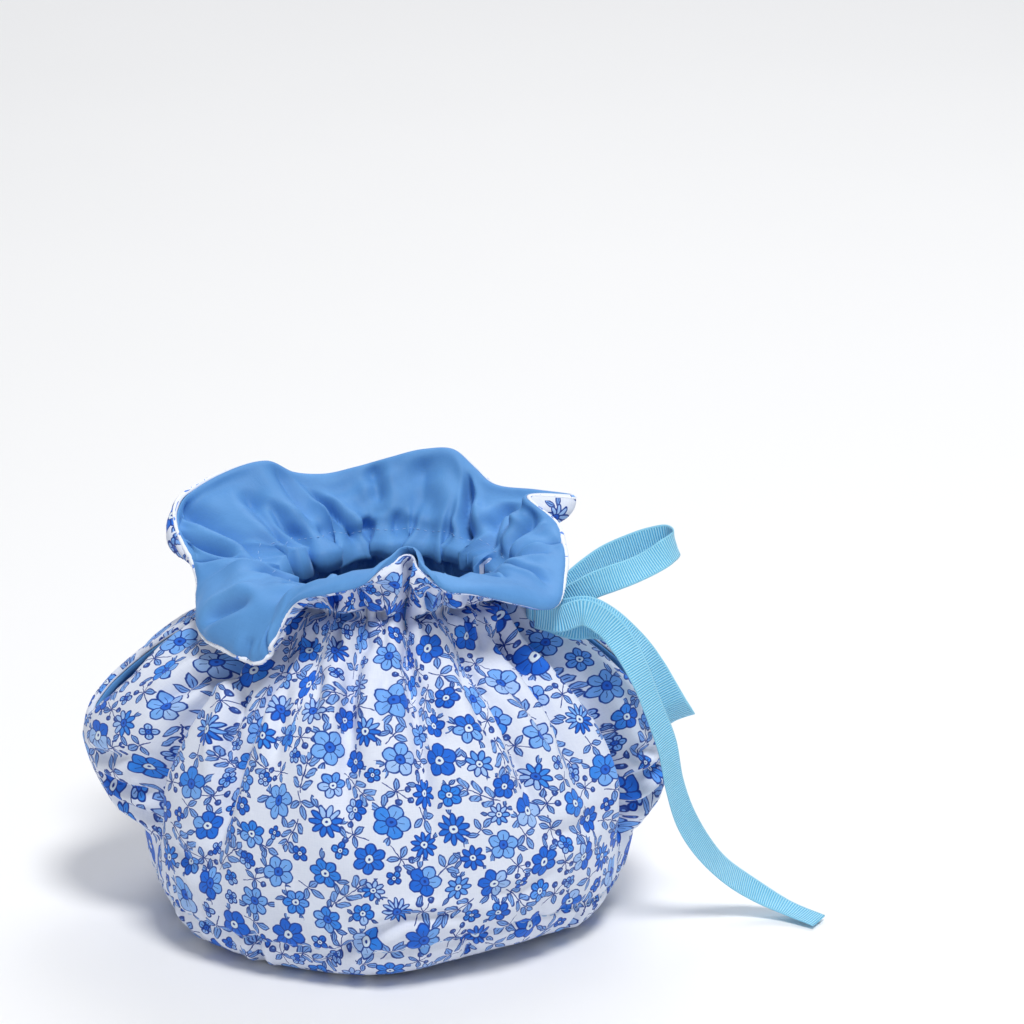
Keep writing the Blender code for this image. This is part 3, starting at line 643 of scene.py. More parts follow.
COLLAR_CREASES = (
    Crease(4.2, 1.7, ((8.5, 2.12), (10, 1.6), (10, 1.1), (9, 0.94))),
    Crease(-1.8, 2.2, ((232, 1.75), (234, 1.50), (237, 1.24), (242, 1.0))),
    Crease(-1.6, 1.9, ((229, 1.55), (231, 1.30), (228, 1.0))),
    Crease(-2.2, 2.0, ((212, 1.78), (207, 1.40), (203, 1.16), (197, 0.98))),
    Crease(-1.1, 2.4, ((188, 2.02), (186, 1.70), (185, 1.40))),
    Crease(-2.0, 2.0, ((151, 1.95), (147, 1.60), (144, 1.34), (133, 1.08))),
    Crease(-1.5, 1.7, ((146, 1.60), (141, 1.30), (135, 1.0))),
    Crease(-1.7, 1.9, ((133.5, 1.80), (130, 1.40), (118, 1.05))),
    Crease(-1.8, 2.4, ((298, 1.92), (304, 1.75), (311, 1.58))),
    Crease(-1.1, 1.2, ((324, 1.84), (321, 2.02))),
    Crease(-1.0, 1.2, ((315, 1.86), (314, 2.02))),
    Crease(-2.0, 2.8, ((244, 2.02), (246, 1.60), (252, 1.30), (262, 1.12))),
    Crease(-1.5, 2.6, ((256, 1.90), (262, 1.55), (272, 1.30))),
    Crease(-1.2, 2.6, ((222, 2.02), (221, 1.60), (218, 1.20))),
    Crease(-0.9, 3.6, ((170, 1.92), (166, 1.50), (163, 1.20))),
    Crease(-1.3, 2.0, ((178, 1.35), (179, 1.02))),
    Crease(-1.3, 2.0, ((193, 1.30), (191, 1.02))),
    Crease(-2.0, 1.8, ((107, 1.98), (102, 1.50), (97, 1.14))),
    Crease(-1.3, 2.0, ((84, 1.80), (82, 1.40), (84, 1.10))),
    Crease(-1.2, 1.8, ((66, 1.86), (69, 1.45), (72, 1.12))),
    Crease(1.5, 1.7, ((27, 1.50), (26, 1.05))),
    Crease(1.4, 1.6, ((350, 1.55), (352, 1.05))),
    Crease(1.5, 1.6, ((338, 1.45), (340, 1.05))),
    Crease(1.2, 1.5, ((41, 1.50), (42, 1.08))),
    Crease(1.3, 1.6, ((54, 1.50), (53, 1.08))),
    Crease(1.0, 1.4, ((18, 1.40), (18, 1.05))),
)

# %% Folds as a function
ROUND_MM = math.pi / 180


def cloth_length(row):
    """Millimetres of cloth from the hem: the body's length times the row, then the collar's."""
    return np.minimum(row, 1) * BODY_LONG + np.maximum(row - 1, 0) * COLLAR_LONG


def crease_depth(crease, degrees, row, out):
    """The distance to each straight piece of the line gives the nearest point and its share of the line. The depth is
    a sharp bell of the distance, less a wider and lower bell on both sides, faded at the line's ends."""
    up = cloth_length(row)
    near = np.full(degrees.shape, 1e9)
    share = np.zeros(degrees.shape)
    count = len(crease.line) - 1
    for k, (start, end) in enumerate(zip(crease.line[:-1], crease.line[1:])):
        across = angle_from(degrees, start[0]) * ROUND_MM * out
        along = up - cloth_length(np.array(start[1]))
        step_x = angle_from(end[0], start[0]) * ROUND_MM * out
        step_y = cloth_length(np.array(end[1])) - cloth_length(np.array(start[1]))
        t = np.clip((across * step_x + along * step_y) / (step_x**2 + step_y**2 + 1e-9), 0, 1)
        gap = np.hypot(across - t * step_x, along - t * step_y)
        closer = gap < near
        near = np.where(closer, gap, near)
        share = np.where(closer, (k + t) / count, share)
    near = near / crease.half
    fade = ramp(share, -0.02, 0.28) * ramp(1.02 - share, 0.0, 0.34)
    return crease.depth * fade * (np.exp(-(near**1.5)) - 0.42 * np.exp(-(((near - 2.0) / 1.1) ** 2)))


rng = np.random.default_rng(19)
WAVE_TURNS = rng.integers(3, 17, 22)
WAVE_RISE = rng.uniform(-22, 22, 22)
WAVE_PHASE = rng.uniform(0, 2 * math.pi, 22)
WANDER_PHASE = rng.uniform(0, 2 * math.pi, 8)


def wander(degrees, first, seeds):
    """A slow uneven curve round the neck, from -1 to 1: three cosines of whole turns."""
    turn = np.radians(degrees)
    return sum(np.cos((first + 2 * k) * turn + WANDER_PHASE[seeds + k]) for k in range(3)) / 3


def pleats(degrees, row):
    """Small pleats at the drawstring. The absolute value of a sine has round ridges and sharp valleys. Two sets of
    different number wander out of step. They fade away over 13 and 32 mm below the neck, and 9 and 18 mm above."""
    turn = np.radians(degrees)
    away = np.abs(cloth_length(row) - BODY_LONG)
    fine = np.abs(np.sin(21 * turn + 1.5 * wander(degrees, 3, 0))) - 0.64
    broad = np.abs(np.sin(11.5 * turn + 1.8 * wander(degrees, 2, 3))) - 0.64
    strength = 0.8 + 0.45 * wander(degrees, 5, 5)
    below = cloth_length(row) < BODY_LONG
    fine_reach = np.where(below, 13.0, 9.0)
    broad_reach = np.where(below, 32.0, 18.0)
    fine_fade = np.exp(-((away / fine_reach) ** 1.4))
    return strength * (3.1 * fine * fine_fade + 3.0 * broad * np.exp(-((away / broad_reach) ** 1.6)))


def hem_band(degrees, row):
    """The stitched line of the hem's casing is a narrow groove, with small puckers on both sides of it."""
    up = cloth_length(row) - (HEM_BAND + 1.2 * wander(degrees, 3, 2))
    groove = -1.5 * np.exp(-((up / 1.2) ** 2))
    pucker = 1.5 * (np.abs(np.sin(27 * np.radians(degrees) + 2.5 * wander(degrees, 4, 1))) - 0.5)
    reach = np.where(up > 0, 13.0, 8.0)
    return groove + pucker * np.exp(-((up / reach) ** 2)) * (0.75 + 0.5 * wander(degrees, 5, 2))


def neck_band(degrees, row):
    """The drawstring pulls a groove round the neck, and the cloth swells out below and above it."""
    up = cloth_length(row) - BODY_LONG - 0.8 * wander(degrees, 6, 3)
    above, below = np.exp(-(((up - 6.0) / 3.2) ** 2)), np.exp(-(((up + 7.0) / 4.0) ** 2))
    return 1.8 * above - 4.6 * np.exp(-((up / 2.1) ** 2)) + 1.2 * below


def fold(degrees, row):
    """How far the cloth stands out from the smooth surface, in millimetres: soft waves, pleats, hem band, creases."""
    degrees, row = np.broadcast_arrays(np.asarray(degrees, float), np.asarray(row, float))
    out = np.linalg.norm(cosy_point(degrees, row)[..., :2], axis=-1)
    turn = np.radians(degrees)
    soft = sum(np.cos(n * turn + rise * row + phase) for n, rise, phase in zip(WAVE_TURNS, WAVE_RISE, WAVE_PHASE))
    up = through(RING_LENGTHS, column(BODY_RINGS, "up"), np.clip(row, 0, 1) * BODY_LONG)
    total = 0.16 * soft + pleats(degrees, row) + hem_band(degrees, row) + neck_band(degrees, row)
    total -= (valley_lines(degrees, up, out) + 0.4 * valleys(degrees, up, out)) * (1 - ramp(row, 1.0, 1.35))
    for creases, deep in ((BODY_CREASES, BODY_DEPTH), (COLLAR_CREASES, COLLAR_DEPTH)):
        for crease in creases:
            total -= deep * crease_depth(crease, degrees, row, out)
    return total * ramp(row, 0.06, 0.12)


# %% [markdown]
# ## The four panels
# Front and back are each one grid between the side seams. The outer cloth and its wadding take the outer side of the
# surface, and the lining the inner side, a hair apart. Both get thinner towards the seams, the slits and the collar's
# edge, because cloth that is sewn and turned there is pressed flat. The same folds move both, so they never cross.

# %% Grid of a panel
BODY_ROWS = 122
COLLAR_ROWS = 36
PANEL_COLUMNS = 244
Grid = namedtuple("Grid", "degrees row middle normal lift edge rim out")


def sewn_lift(degrees, row, edge):
    """The folds, drawn in by a millimetre where the cloth is stitched and flattened within 4 mm of the seam."""
    return (fold(degrees, row) - 0.9 * np.exp(-((edge / 2.6) ** 2))) * (0.35 + 0.65 * ramp(edge, 0.0, 4.0))


def from_seam(degrees):
    """The angle to the nearer one of the two side seams."""
    return np.minimum(np.abs(angle_from(degrees, LEFT_SIDE)), np.abs(angle_from(degrees, RIGHT_SIDE)))


def panel_grid(first_side, last_side):
    """Rows of equal length of cloth, and columns that stand closer together near both seams."""
    row = np.concatenate([np.linspace(0, 1, BODY_ROWS + 1), 1 + np.linspace(0, 1, COLLAR_ROWS + 1)[1:]])
    slits = {LEFT_SIDE: LEFT_SLIT, RIGHT_SIDE: RIGHT_SLIT}
    start = first_side + seam_half_angle(slits[first_side % 360], first_side % 360, row)
    end = last_side - seam_half_angle(slits[last_side % 360], last_side % 360, row)
    even = np.linspace(0, 1, PANEL_COLUMNS + 1)
    share = even - 0.42 * np.sin(2 * math.pi * even) / (2 * math.pi)
    degrees = start[:, None] + (end - start)[:, None] * share
    row = np.repeat(row[:, None], PANEL_COLUMNS + 1, axis=1)
    middle, normal = cosy_point(degrees, row), cosy_normal(degrees, row)
    out = np.linalg.norm(middle[..., :2], axis=-1)
    flat = (out <= HEM_FLAT_OUT) & (row < 0.5)
    normal[flat] = (0, 0, -1)
    edge = np.minimum(degrees - start[:, None], end[:, None] - degrees) * ROUND_MM * out
    lift = sewn_lift(degrees, row, edge) * ramp(row, 0.06, 0.12)
    return Grid(degrees, row, middle, normal, lift, edge, (2 - row) * COLLAR_LONG, out)


def rounded(distance, over):
    """A quarter circle: 0 at the edge and 1 from `over` millimetres away from it."""
    near = 1 - np.clip(distance / over, 0, 1)
    return np.sqrt(1 - near * near)


def panel_side(grid, offset):
    """The middle surface moved along its normal by the folds and by the offset, and kept above the table."""
    points = grid.middle + (grid.lift + offset)[..., None] * grid.normal
    points[..., 2] = np.maximum(points[..., 2], np.where(grid.row < 0.5, HEM_UP - np.max(offset), 0.0))
    return points


front_grid = panel_grid(LEFT_SIDE - 360, RIGHT_SIDE)
back_grid = panel_grid(RIGHT_SIDE, LEFT_SIDE)
print("folds reach from", round(float(front_grid.lift.min()), 1), "to", round(float(front_grid.lift.max()), 1), "mm")

# %% [markdown]
# ## How the print lies on the gathered cloth
# Gathered cloth keeps its flowers' size on the ridges and hides them in the valleys. So between two main valleys the
# flat coordinate runs with the true distance round the cosy, and close to each valley it takes in the cloth that the
# fold holds. A small part of that is left out as a jump, because a tight pleat cuts a flower.

# %% Flat coordinates
CLOTH_ROUND = 80.0


def sector_of(degrees, up):
    """The number of the sector that each point lies in: the valley that is the next one behind it."""
    centres = np.stack([valley_centre(valley, up)[0] for valley in VALLEYS])
    return np.argmin((degrees[None] - centres) % 360, axis=0)


def sector_middles(up):
    """For every sector, its middle's angle at these heights."""
    start = np.stack([valley_centre(valley, up)[0] for valley in VALLEYS])
    return start + ((np.roll(start, -1, 0) - start) % 360) / 2


def face_corners(values):
    return np.stack([values[:-1, :-1], values[:-1, 1:], values[1:, 1:], values[1:, :-1]], -1)


def arc_to(grid, arc, degrees):
    """The length along each row of the grid to an angle: linear between columns, radius times angle past the ends."""
    first, last = grid.degrees[:, :1], grid.degrees[:, -1:]
    even = (grid.degrees[0] - grid.degrees[0, 0]) / (grid.degrees[0, -1] - grid.degrees[0, 0])
    nearest = (first + last) / 2 + angle_from(degrees, (first + last) / 2)
    share = (nearest - first) / (last - first)
    at = np.interp(share, even, np.arange(len(even)))
    low = np.minimum(at.astype(int), len(even) - 2)
    below, above = np.take_along_axis(arc, low, 1), np.take_along_axis(arc, low + 1, 1)
    past = (share - np.clip(share, 0, 1)) * (last - first) * ROUND_MM * grid.out.mean(1, keepdims=True)
    return below + (at - low) * (above - below) + past


def valley_arcs(grid, arc, up):
    """For each row, the length along it to every sector's middle and to the valleys at both its ends."""
    starts = np.stack([valley_centre(valley, up)[0] for valley in VALLEYS])
    middles = sector_middles(up)
    half = (middles - starts) * ROUND_MM * grid.out.mean(1)
    at, behind = arc_to(grid, arc, middles.T), arc_to(grid, arc, starts.T)
    ahead = arc_to(grid, arc, np.roll(starts, -1, 0).T)
    behind = np.where((behind < at) & (at - behind < 3 * half.T), behind, at - half.T)
    ahead = np.where((ahead > at) & (ahead - at < 3 * half.T), ahead, at + half.T)
    return at, at - behind, ahead - at


def squeezed(away, now, whole, keep):
    """From the sector's middle to its valley, u runs from 0 to 1. The flat length is the true length, plus u to the
    fourth times the share that the valley takes in, so the print keeps its scale and is squeezed only in the fold."""
    u = np.abs(away) / now
    return away + np.sign(away) * np.maximum((whole - now) * keep, -0.12 * now) * np.clip(u, 0, 1.05) ** 4


def flat_cloth(grid):
    """Flat coordinates at the four corners of each outer face: across, the squeezed length from the sector's middle;
    up, half the true length of this column of cloth and half the mean length."""
    step = np.linalg.norm(np.diff(grid.middle, axis=0), axis=-1)
    own = np.concatenate([np.zeros((1, step.shape[1])), np.cumsum(step, axis=0)])
    own -= own[BODY_ROWS]
    long = 0.5 * own + 0.5 * own.mean(axis=1, keepdims=True)
    beside = np.linalg.norm(np.diff(grid.middle, axis=1), axis=-1)
    arc = np.concatenate([np.zeros((len(beside), 1)), np.cumsum(beside, axis=1)], axis=1)
    up = through(RING_LENGTHS, column(BODY_RINGS, "up"), np.clip(grid.row[:, 0], 0, 1) * BODY_LONG)
    at, behind, ahead = valley_arcs(grid, arc, up)
    widest = int(np.argmin(np.abs(up - 36.0)))
    low = np.array(column(VALLEYS, "low"), float)
    keep = 1 - 0.25 * ramp(up[:, None], low - 4, low + 30) * (1 - ramp(grid.row[:, :1], 1.1, 1.6))
    keep = np.broadcast_to(keep, at.shape)
    keep_ahead = np.roll(keep, -1, 1)
    sector = sector_of(face_corners(grid.degrees).mean(-1), (up[:-1, None] + up[1:, None]) / 2)

    def here(table):
        low_row, high_row = (np.take_along_axis(part, sector, 1) for part in (table[:-1], table[1:]))
        return np.stack([low_row, low_row, high_row, high_row], -1)

    away = face_corners(arc) - here(at)
    left = squeezed(away, here(behind), behind[widest][sector][..., None], here(keep))
    right = squeezed(away, here(ahead), ahead[widest][sector][..., None], here(keep_ahead))
    across = at[widest][sector][..., None] + np.where(away < 0, left, right)
    return np.stack([across, face_corners(long)], -1).reshape(-1, 4, 2)


# %% [markdown]
# ## Laying out the flowers
# The print is a common small floral: blooms in several blues, daisies, small blossoms, twigs, leaf sprigs and berry
# forks, tossed at all angles on a bluish white. The layout is made here and isn't copied from any cloth. Each motif
# gets a disc, the discs are dropped where there is most room in a square that repeats, and then push each other
# apart. Sprigs are a layer of their own, behind the blooms, so that the two may overlap a little.

# %% Motif layout
TILE = 170.0
Motif = namedtuple("Motif", "name count small large room petals leafy dark kind")
MOTIFS = (
    Motif("round bloom", 34, 5.6, 6.6, 1.12, (5, 5, 6), 0.9, (0.35, 0.95), 0),
    Motif("broad bloom", 32, 4.8, 5.7, 1.12, (5, 6, 6), 0.85, (0.35, 0.7, 0.9), 0),
    Motif("daisy", 22, 4.8, 5.8, 1.12, (9, 10, 12), 0.7, (0.12, 0.9), 0),
    Motif("deep bloom", 40, 3.8, 4.8, 1.08, (5, 6, 8), 0.7, (0.5, 0.7, 0.95), 0),
    Motif("small blossom", 60, 2.6, 3.3, 1.08, (4, 5), 0.0, (0.2, 0.9), 0),
    Motif("three-leaf twig", 44, 4.8, 6.0, 0.88, (5,), 0.0, (0.5,), 3),
    Motif("leaf sprig", 32, 6.6, 8.2, 0.80, (5,), 0.0, (0.5,), 1),
    Motif("berry fork", 48, 5.2, 6.2, 0.86, (5,), 0.0, (0.5,), 2),
)


def motif_rows():
    """One row for each motif: its size, room, petals, half petal width, two tones, share of dark petals, leaf flag
    and kind. Half a petal's width is what fits between its neighbours."""
    pick = np.random.default_rng(11)
    rows = []
    for motif in MOTIFS:
        size = pick.uniform(motif.small, motif.large, motif.count)
        petals = pick.choice(motif.petals, motif.count)
        tone = pick.choice(motif.dark, motif.count)
        other = np.where(pick.random(motif.count) < 0.7, pick.choice((0.12, 0.35, 0.65, 0.95), motif.count), tone)
        cut = pick.choice((-0.35, 0.1, 0.45), motif.count)
        leaf = (pick.random(motif.count) < motif.leafy) * 1.0
        half = np.minimum(0.43, 0.60 * np.tan(math.pi / petals) * 1.03)
        kind = np.full(motif.count, float(motif.kind))
        rows.append(np.stack([size, size * motif.room, petals, half, tone, other, cut, leaf, kind], 1))
    return np.concatenate(rows)


def wrapped(gap):
    return (gap + TILE / 2) % TILE - TILE / 2


motif_table = motif_rows()
motif_is_sprig = motif_table[:, 8] > 0
BEHIND = 0.74


def lay_out(rooms):
    """Drops each disc where its nearest neighbour is furthest, then moves overlapping pairs apart many times. A sprig
    may reach behind a bloom, so those two need less room."""
    pick = np.random.default_rng(5)
    order = np.argsort(-rooms)
    placed = np.zeros((len(rooms), 2))
    sprigs = motif_is_sprig
    for k, who in enumerate(order):
        tries = pick.uniform(0, TILE, (500, 2))
        if k:
            gap = np.hypot(*np.moveaxis(wrapped(tries[:, None] - placed[order[:k]]), -1, 0))
            least = np.where(sprigs[order[:k]] == sprigs[who], 1.0, BEHIND) * rooms[order[:k]]
            best = np.argmax((gap - least).min(1))
        else:
            best = 0
        placed[who] = tries[best]
    need = (rooms[:, None] + rooms[None, :]) * np.where(sprigs[:, None] == sprigs[None], 1.0, BEHIND)
    for _ in range(200):
        apart = wrapped(placed[:, None] - placed[None])
        gap = np.hypot(apart[..., 0], apart[..., 1]) + np.eye(len(rooms)) * 1e6
        push = np.clip(need + 0.6 - gap, 0, None) / gap
        placed = (placed + 0.32 * (apart * push[..., None]).sum(1)) % TILE
    overlap = np.clip(need - gap, 0, None)
    share = math.pi * (rooms**2).sum() / TILE**2
    print(f"{len(rooms)} motifs fill {share:.0%} of a square, worst overlap {overlap.max():.1f} mm")
    return placed


motif_places = lay_out(motif_table[:, 1])
motif_turns = np.random.default_rng(3).uniform(0, 2 * math.pi, len(motif_table))
LINE_MM = 0.48


def nearest_motif(centre, some):
    """For every face, the one of these motifs whose disc is nearest, in parts of 8000 faces."""
    which = np.zeros(len(centre), int)
    for start in range(0, len(centre), 8000):
        gap = np.hypot(*np.moveaxis(wrapped(centre[start:start + 8000, None] - motif_places[some]), -1, 0))
        which[start:start + 8000] = some[np.argmin(gap - motif_table[some, 1], axis=1)]
    return which


def four(*values):
    """One number for each face, or four, as three numbers for each of its corners."""
    return np.stack([np.broadcast_to(np.reshape(v, (len(v), -1)), (len(v), 4)) for v in values], -1)


def print_on(piece, flat):
    """Each face takes its nearest bloom and its nearest sprig. Its corners get their place in both, turned and in
    units of the motif's radius, and the motif's looks, as vector attributes on face corners."""
    centre = flat.mean(1) % TILE
    layers = {}
    for word, some in (("bloom", np.flatnonzero(~motif_is_sprig)), ("sprig", np.flatnonzero(motif_is_sprig))):
        which = nearest_motif(centre, some)
        size, _, count, half, tone, other, cut, leafy, kind = motif_table[which].T
        local = wrapped(centre - motif_places[which])[:, None] + flat - flat.mean(1, keepdims=True)
        turn = motif_turns[which][:, None]
        x = (local[..., 0] * np.cos(turn) + local[..., 1] * np.sin(turn)) / size[:, None]
        y = (local[..., 1] * np.cos(turn) - local[..., 0] * np.sin(turn)) / size[:, None]
        layers[word + "_place"] = four(x, y, LINE_MM / size)
        layers[word + "_form"] = four(count, half, kind)
        if word == "bloom":
            layers["bloom_tone"] = four(tone, other, cut + 10 * leafy)
    for name, values in layers.items():
        whole = np.full((len(piece.data.loops), 3), 30.0, np.float32)
        whole[: values.shape[0] * 4] = values.reshape(-1, 3)
        layer = piece.data.attributes.new(name, "FLOAT_VECTOR", "CORNER")
        layer.data.foreach_set("vector", whole.ravel())
    return piece


# %% Outer panels


def panel_uv(piece, grid, flat):
    """The cloth's own flat coordinates on all faces: exact on the outer side, and by angle and length elsewhere."""
    rough = np.stack([grid.degrees * ROUND_MM * CLOTH_ROUND, cloth_length(grid.row)], -1).reshape(-1, 2)
    faces = sheet_faces(*grid.degrees.shape)
    uv = np.concatenate([rough, rough])[faces]
    uv[: len(flat)] = flat
    set_uv(piece, uv)


def outer_panel(name, grid, node):
    """The printed cloth with its wadding: from the gap beside the lining out to its thickness, thin at its edges."""
    pressed = (0.22 + 0.78 * rounded(grid.edge, 4.0)) * (0.25 + 0.75 * rounded(grid.rim, 5.0))
    pressed = np.where(grid.row < 0.06, 1.0, pressed)
    near = np.full_like(grid.row, HALF_GAP * 0.5)
    piece = sheet_piece(name, panel_side(grid, HALF_GAP + OUTER_THICK * pressed), panel_side(grid, near))
    flat = flat_cloth(grid)
    print_on(piece, flat)
    panel_uv(piece, grid, flat)
    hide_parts(node)
    return piece


outer_front = outer_panel("printed_front", front_grid, "outer_front")
outer_back = outer_panel("printed_back", back_grid, "outer_back")

# %% [markdown]
# ## The lining
# The lining is the mirror of the outer cloth: the same grid, on the inner side. Only its inner face shows, in the
# collar and through the slits. It carries the same folds, so what is a ridge outside is a groove inside.

# %% Lining panels


LINING_BAND = (
    (0, 2.2), (9, 2.8), (16, 1.8), (28, 1.3), (45, 1.2), (60, 0.6), (70, 0.0), (180, 0.0), (318, 0.0), (328, 0.6),
    (340, 1.2), (352, 1.6),
)


def lining_band(grid):
    """In front the lining stands a little above the printed edge: the last row moves on along the surface."""
    table = np.array(LINING_BAND)
    reach = through(table[:, 0], table[:, 1], grid.degrees, 360) * ramp(grid.row, 1.86, 2.0)
    onward = unit(grid.middle - cosy_point(grid.degrees, grid.row - 0.04))
    return np.maximum(reach, 0)[..., None] * onward


def lining_panel(name, grid, node):
    pressed = (0.25 + 0.75 * rounded(grid.edge, 3.0)) * (0.25 + 0.75 * rounded(grid.rim, 4.0))
    low = grid.row < 0.06
    pressed = np.where(low, 1.0, pressed)
    outer = grid.middle + (grid.lift - HALF_GAP * 0.5)[..., None] * grid.normal
    inner = grid.middle + (grid.lift - HALF_GAP - LINING_THICK * pressed)[..., None] * grid.normal
    band = lining_band(grid)
    piece = sheet_piece(name, outer + band, inner + band)
    panel_uv(piece, grid, flat_cloth(grid))
    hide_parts(node)
    return piece


lining_front = lining_panel("plain_front", front_grid, "lining_front")
lining_back = lining_panel("plain_back", back_grid, "lining_back")

# %% [markdown]
# ## The collar's rolled edge
# Outer cloth and lining are sewn together along the collar's edge and turned right side out. The printed cloth rolls
# over the seam, so a thin pale roll runs all round. It stands out where the edge turns to the viewer and almost
# hides behind the lining in front. It is a tube along the edge, drawn in a little at every few stitches, and a table
# gives how full it is and how far out and down it lies.

# %% Rolled edge
EDGE_STEPS = 900
EDGE_SIDES = 10
Edge = namedtuple("Edge", "deg full out down")
EDGE = (
    Edge(0, 0.30, 0.2, 0.0), Edge(40, 0.30, 0.2, 0.0), Edge(58, 0.50, 0.0, 0.0), Edge(68, 0.95, 0.0, 0.0),
    Edge(96, 0.95, 0.0, 0.0), Edge(106, 0.60, 0.6, 0.2), Edge(116, 0.50, 1.5, 0.8), Edge(180, 0.50, 1.5, 0.8),
    Edge(244, 0.50, 1.5, 0.8), Edge(256, 0.60, 0.8, 0.4), Edge(280, 0.80, 0.0, 0.0), Edge(292, 1.0, 0.0, 0.0),
    Edge(320, 1.0, 0.0, 0.0), Edge(329, 0.55, 0.0, 0.0), Edge(340, 0.30, 0.2, 0.0),
)


def edge_line():
    """The collar's edge at row 2 with its folds, a hair outside the cloth's own edge."""
    degrees = np.linspace(0, 360, EDGE_STEPS, endpoint=False)
    row = np.full_like(degrees, 2.0)
    points = cosy_point(degrees, row)
    normal = cosy_normal(degrees, row)
    out = np.linalg.norm(points[:, :2], axis=-1)
    edge = from_seam(degrees) * ROUND_MM * out
    lift = sewn_lift(degrees, row, edge)
    table = np.array([row[1:] for row in EDGE])
    full, outward, down = through(column(EDGE, "deg"), table, degrees, 360).T
    low = unit(cosy_point(degrees, row - 0.06) - points)
    return full, points + (lift + outward)[:, None] * normal + down[:, None] * low, normal


def rolled_edge():
    """A circle carried along the edge. Its radius swells and shrinks with the stitches, and it is wider than high."""
    full, line, normal = edge_line()
    ahead = unit(np.roll(line, -1, 0) - np.roll(line, 1, 0))
    side = unit(np.cross(ahead, normal))
    normal = unit(np.cross(side, ahead))
    run = np.cumsum(np.linalg.norm(np.diff(line, axis=0, append=line[:1]), axis=1))
    turn = np.linspace(0, 2 * math.pi, EDGE_SIDES, endpoint=False)
    swell = full * (0.92 + 0.16 * np.abs(np.sin(run * math.pi / 3.4)) + 0.06 * np.sin(run / 2.1))
    ring = np.cos(turn)[None, :, None] * normal[:, None] * 1.12 + np.sin(turn)[None, :, None] * side[:, None] * 0.85
    points = line[:, None] + ring * swell[:, None, None]
    index = np.arange(EDGE_STEPS * EDGE_SIDES).reshape(EDGE_STEPS, EDGE_SIDES)
    ahead_index, beside = np.roll(index, -1, 0), np.roll(index, -1, 1)
    faces = np.stack([index, beside, np.roll(ahead_index, -1, 1), ahead_index], -1).reshape(-1, 4)
    piece = add_mesh("rolled_edge", points, faces)
    across = np.stack(np.broadcast_arrays(run[:, None], turn[None, :] * 1.0), -1).reshape(-1, 2)
    set_uv(piece, across[faces])
    print(f"rolled_edge: {run[-1]:.0f} mm round")
    return piece


collar_edge = rolled_edge()

# %% [markdown]
# ## Stitches
# Two things are sewn where it shows: the ribbon's casing, inside the collar, and the hem's casing. Each stitch is a
# short thread that lies on the cloth and dips in at both ends. One small shape is computed once and repeated along
# the line as whole arrays.

# %% Stitch lines
STITCH_RINGS = np.array([(-1.0, 0.02), (-0.8, 0.75), (-0.3, 1.0), (0.3, 1.0), (0.8, 0.75), (1.0, 0.02)])


def stitch_line(name, row_at, offset, pitch, long, thick):
    """Small capsules along a row of the surface. A capsule's middle bows out, and its ends go into the cloth."""
    fine = np.linspace(0, 360, 1440, endpoint=False)
    row = row_at + 0.004 * wander(fine, 3, 1)
    surface = cosy_point(fine, row) + (fold(fine, row) + offset)[:, None] * cosy_normal(fine, row)
    run = np.concatenate([[0], np.cumsum(np.linalg.norm(np.diff(surface, axis=0, append=surface[:1]), axis=1))])
    count = int(run[-1] / pitch)
    degrees = np.interp(np.arange(count) * run[-1] / count, run, np.append(fine, 360.0))
    degrees = degrees[from_seam(degrees) > 2.5]
    row = row_at + 0.004 * wander(degrees, 3, 1)
    normal = cosy_normal(degrees, row)
    centre = cosy_point(degrees, row) + (fold(degrees, row) + offset)[:, None] * normal
    onward = cosy_point(degrees + 0.4, row) + (fold(degrees + 0.4, row) + offset)[:, None] * normal
    ahead = unit(onward - centre)
    side = unit(np.cross(ahead, normal))
    turn = np.arange(6) * math.pi / 3
    along = STITCH_RINGS[:, 0] * long / 2
    bow = np.sign(offset) * 0.22 * (1 - STITCH_RINGS[:, 0] ** 2) - np.sign(offset) * 0.08
    size = STITCH_RINGS[:, 1] * thick / 2
    rise = bow[:, None] + size[:, None] * np.cos(turn)
    beside = size[:, None] * np.sin(turn)
    points = (
        centre[:, None, None]
        + ahead[:, None, None] * along[:, None, None]
        + normal[:, None, None] * rise[..., None]
        + side[:, None, None] * beside[..., None]
    )
    rings = len(STITCH_RINGS)
    index = np.arange(rings * 6).reshape(rings, 6)
    after = np.roll(index, -1, axis=1)
    one = np.stack([index[:-1], index[1:], after[1:], after[:-1]], -1).reshape(-1, 4).tolist()
    caps = [index[0].tolist(), index[-1, ::-1].tolist()]
    faces = [[v + k * rings * 6 for v in face] for k in range(len(degrees)) for face in one + caps]
    piece = add_mesh(name, points, faces)
    print(f"{name}: {len(degrees)} stitches")
    return piece


casing_stitches = stitch_line("casing_stitches", 1.14, -HALF_GAP - LINING_THICK, 2.9, 1.5, 0.28)
hem_stitches = stitch_line("hem_stitches", HEM_BAND / BODY_LONG, HALF_GAP + OUTER_THICK, 3.2, 2.1, 0.34)


def layer_area(grid):
    """Half the area of the grid's two triangles per face, added up, in square metres."""
    a, b = grid.middle[:-1, 1:] - grid.middle[:-1, :-1], grid.middle[1:, :-1] - grid.middle[:-1, :-1]
    return float(np.linalg.norm(np.cross(a, b), axis=-1).sum() * MM * MM)


front_area, back_area = layer_area(front_grid), layer_area(back_grid)
print(f"front {front_area:.4f} and back {back_area:.4f} square metres")

# %% [markdown]
# ## Writing finishes as sums
# A finish in Blender is a net of nodes. Most of them are Math nodes, and a net of them is hard to read. So one small
# class stands for a value on its way through the net: adding two of them adds an Add node, and so on. Any other node
# comes from one method, which takes the node's type, its settings and its inputs.

# %% A value on its way


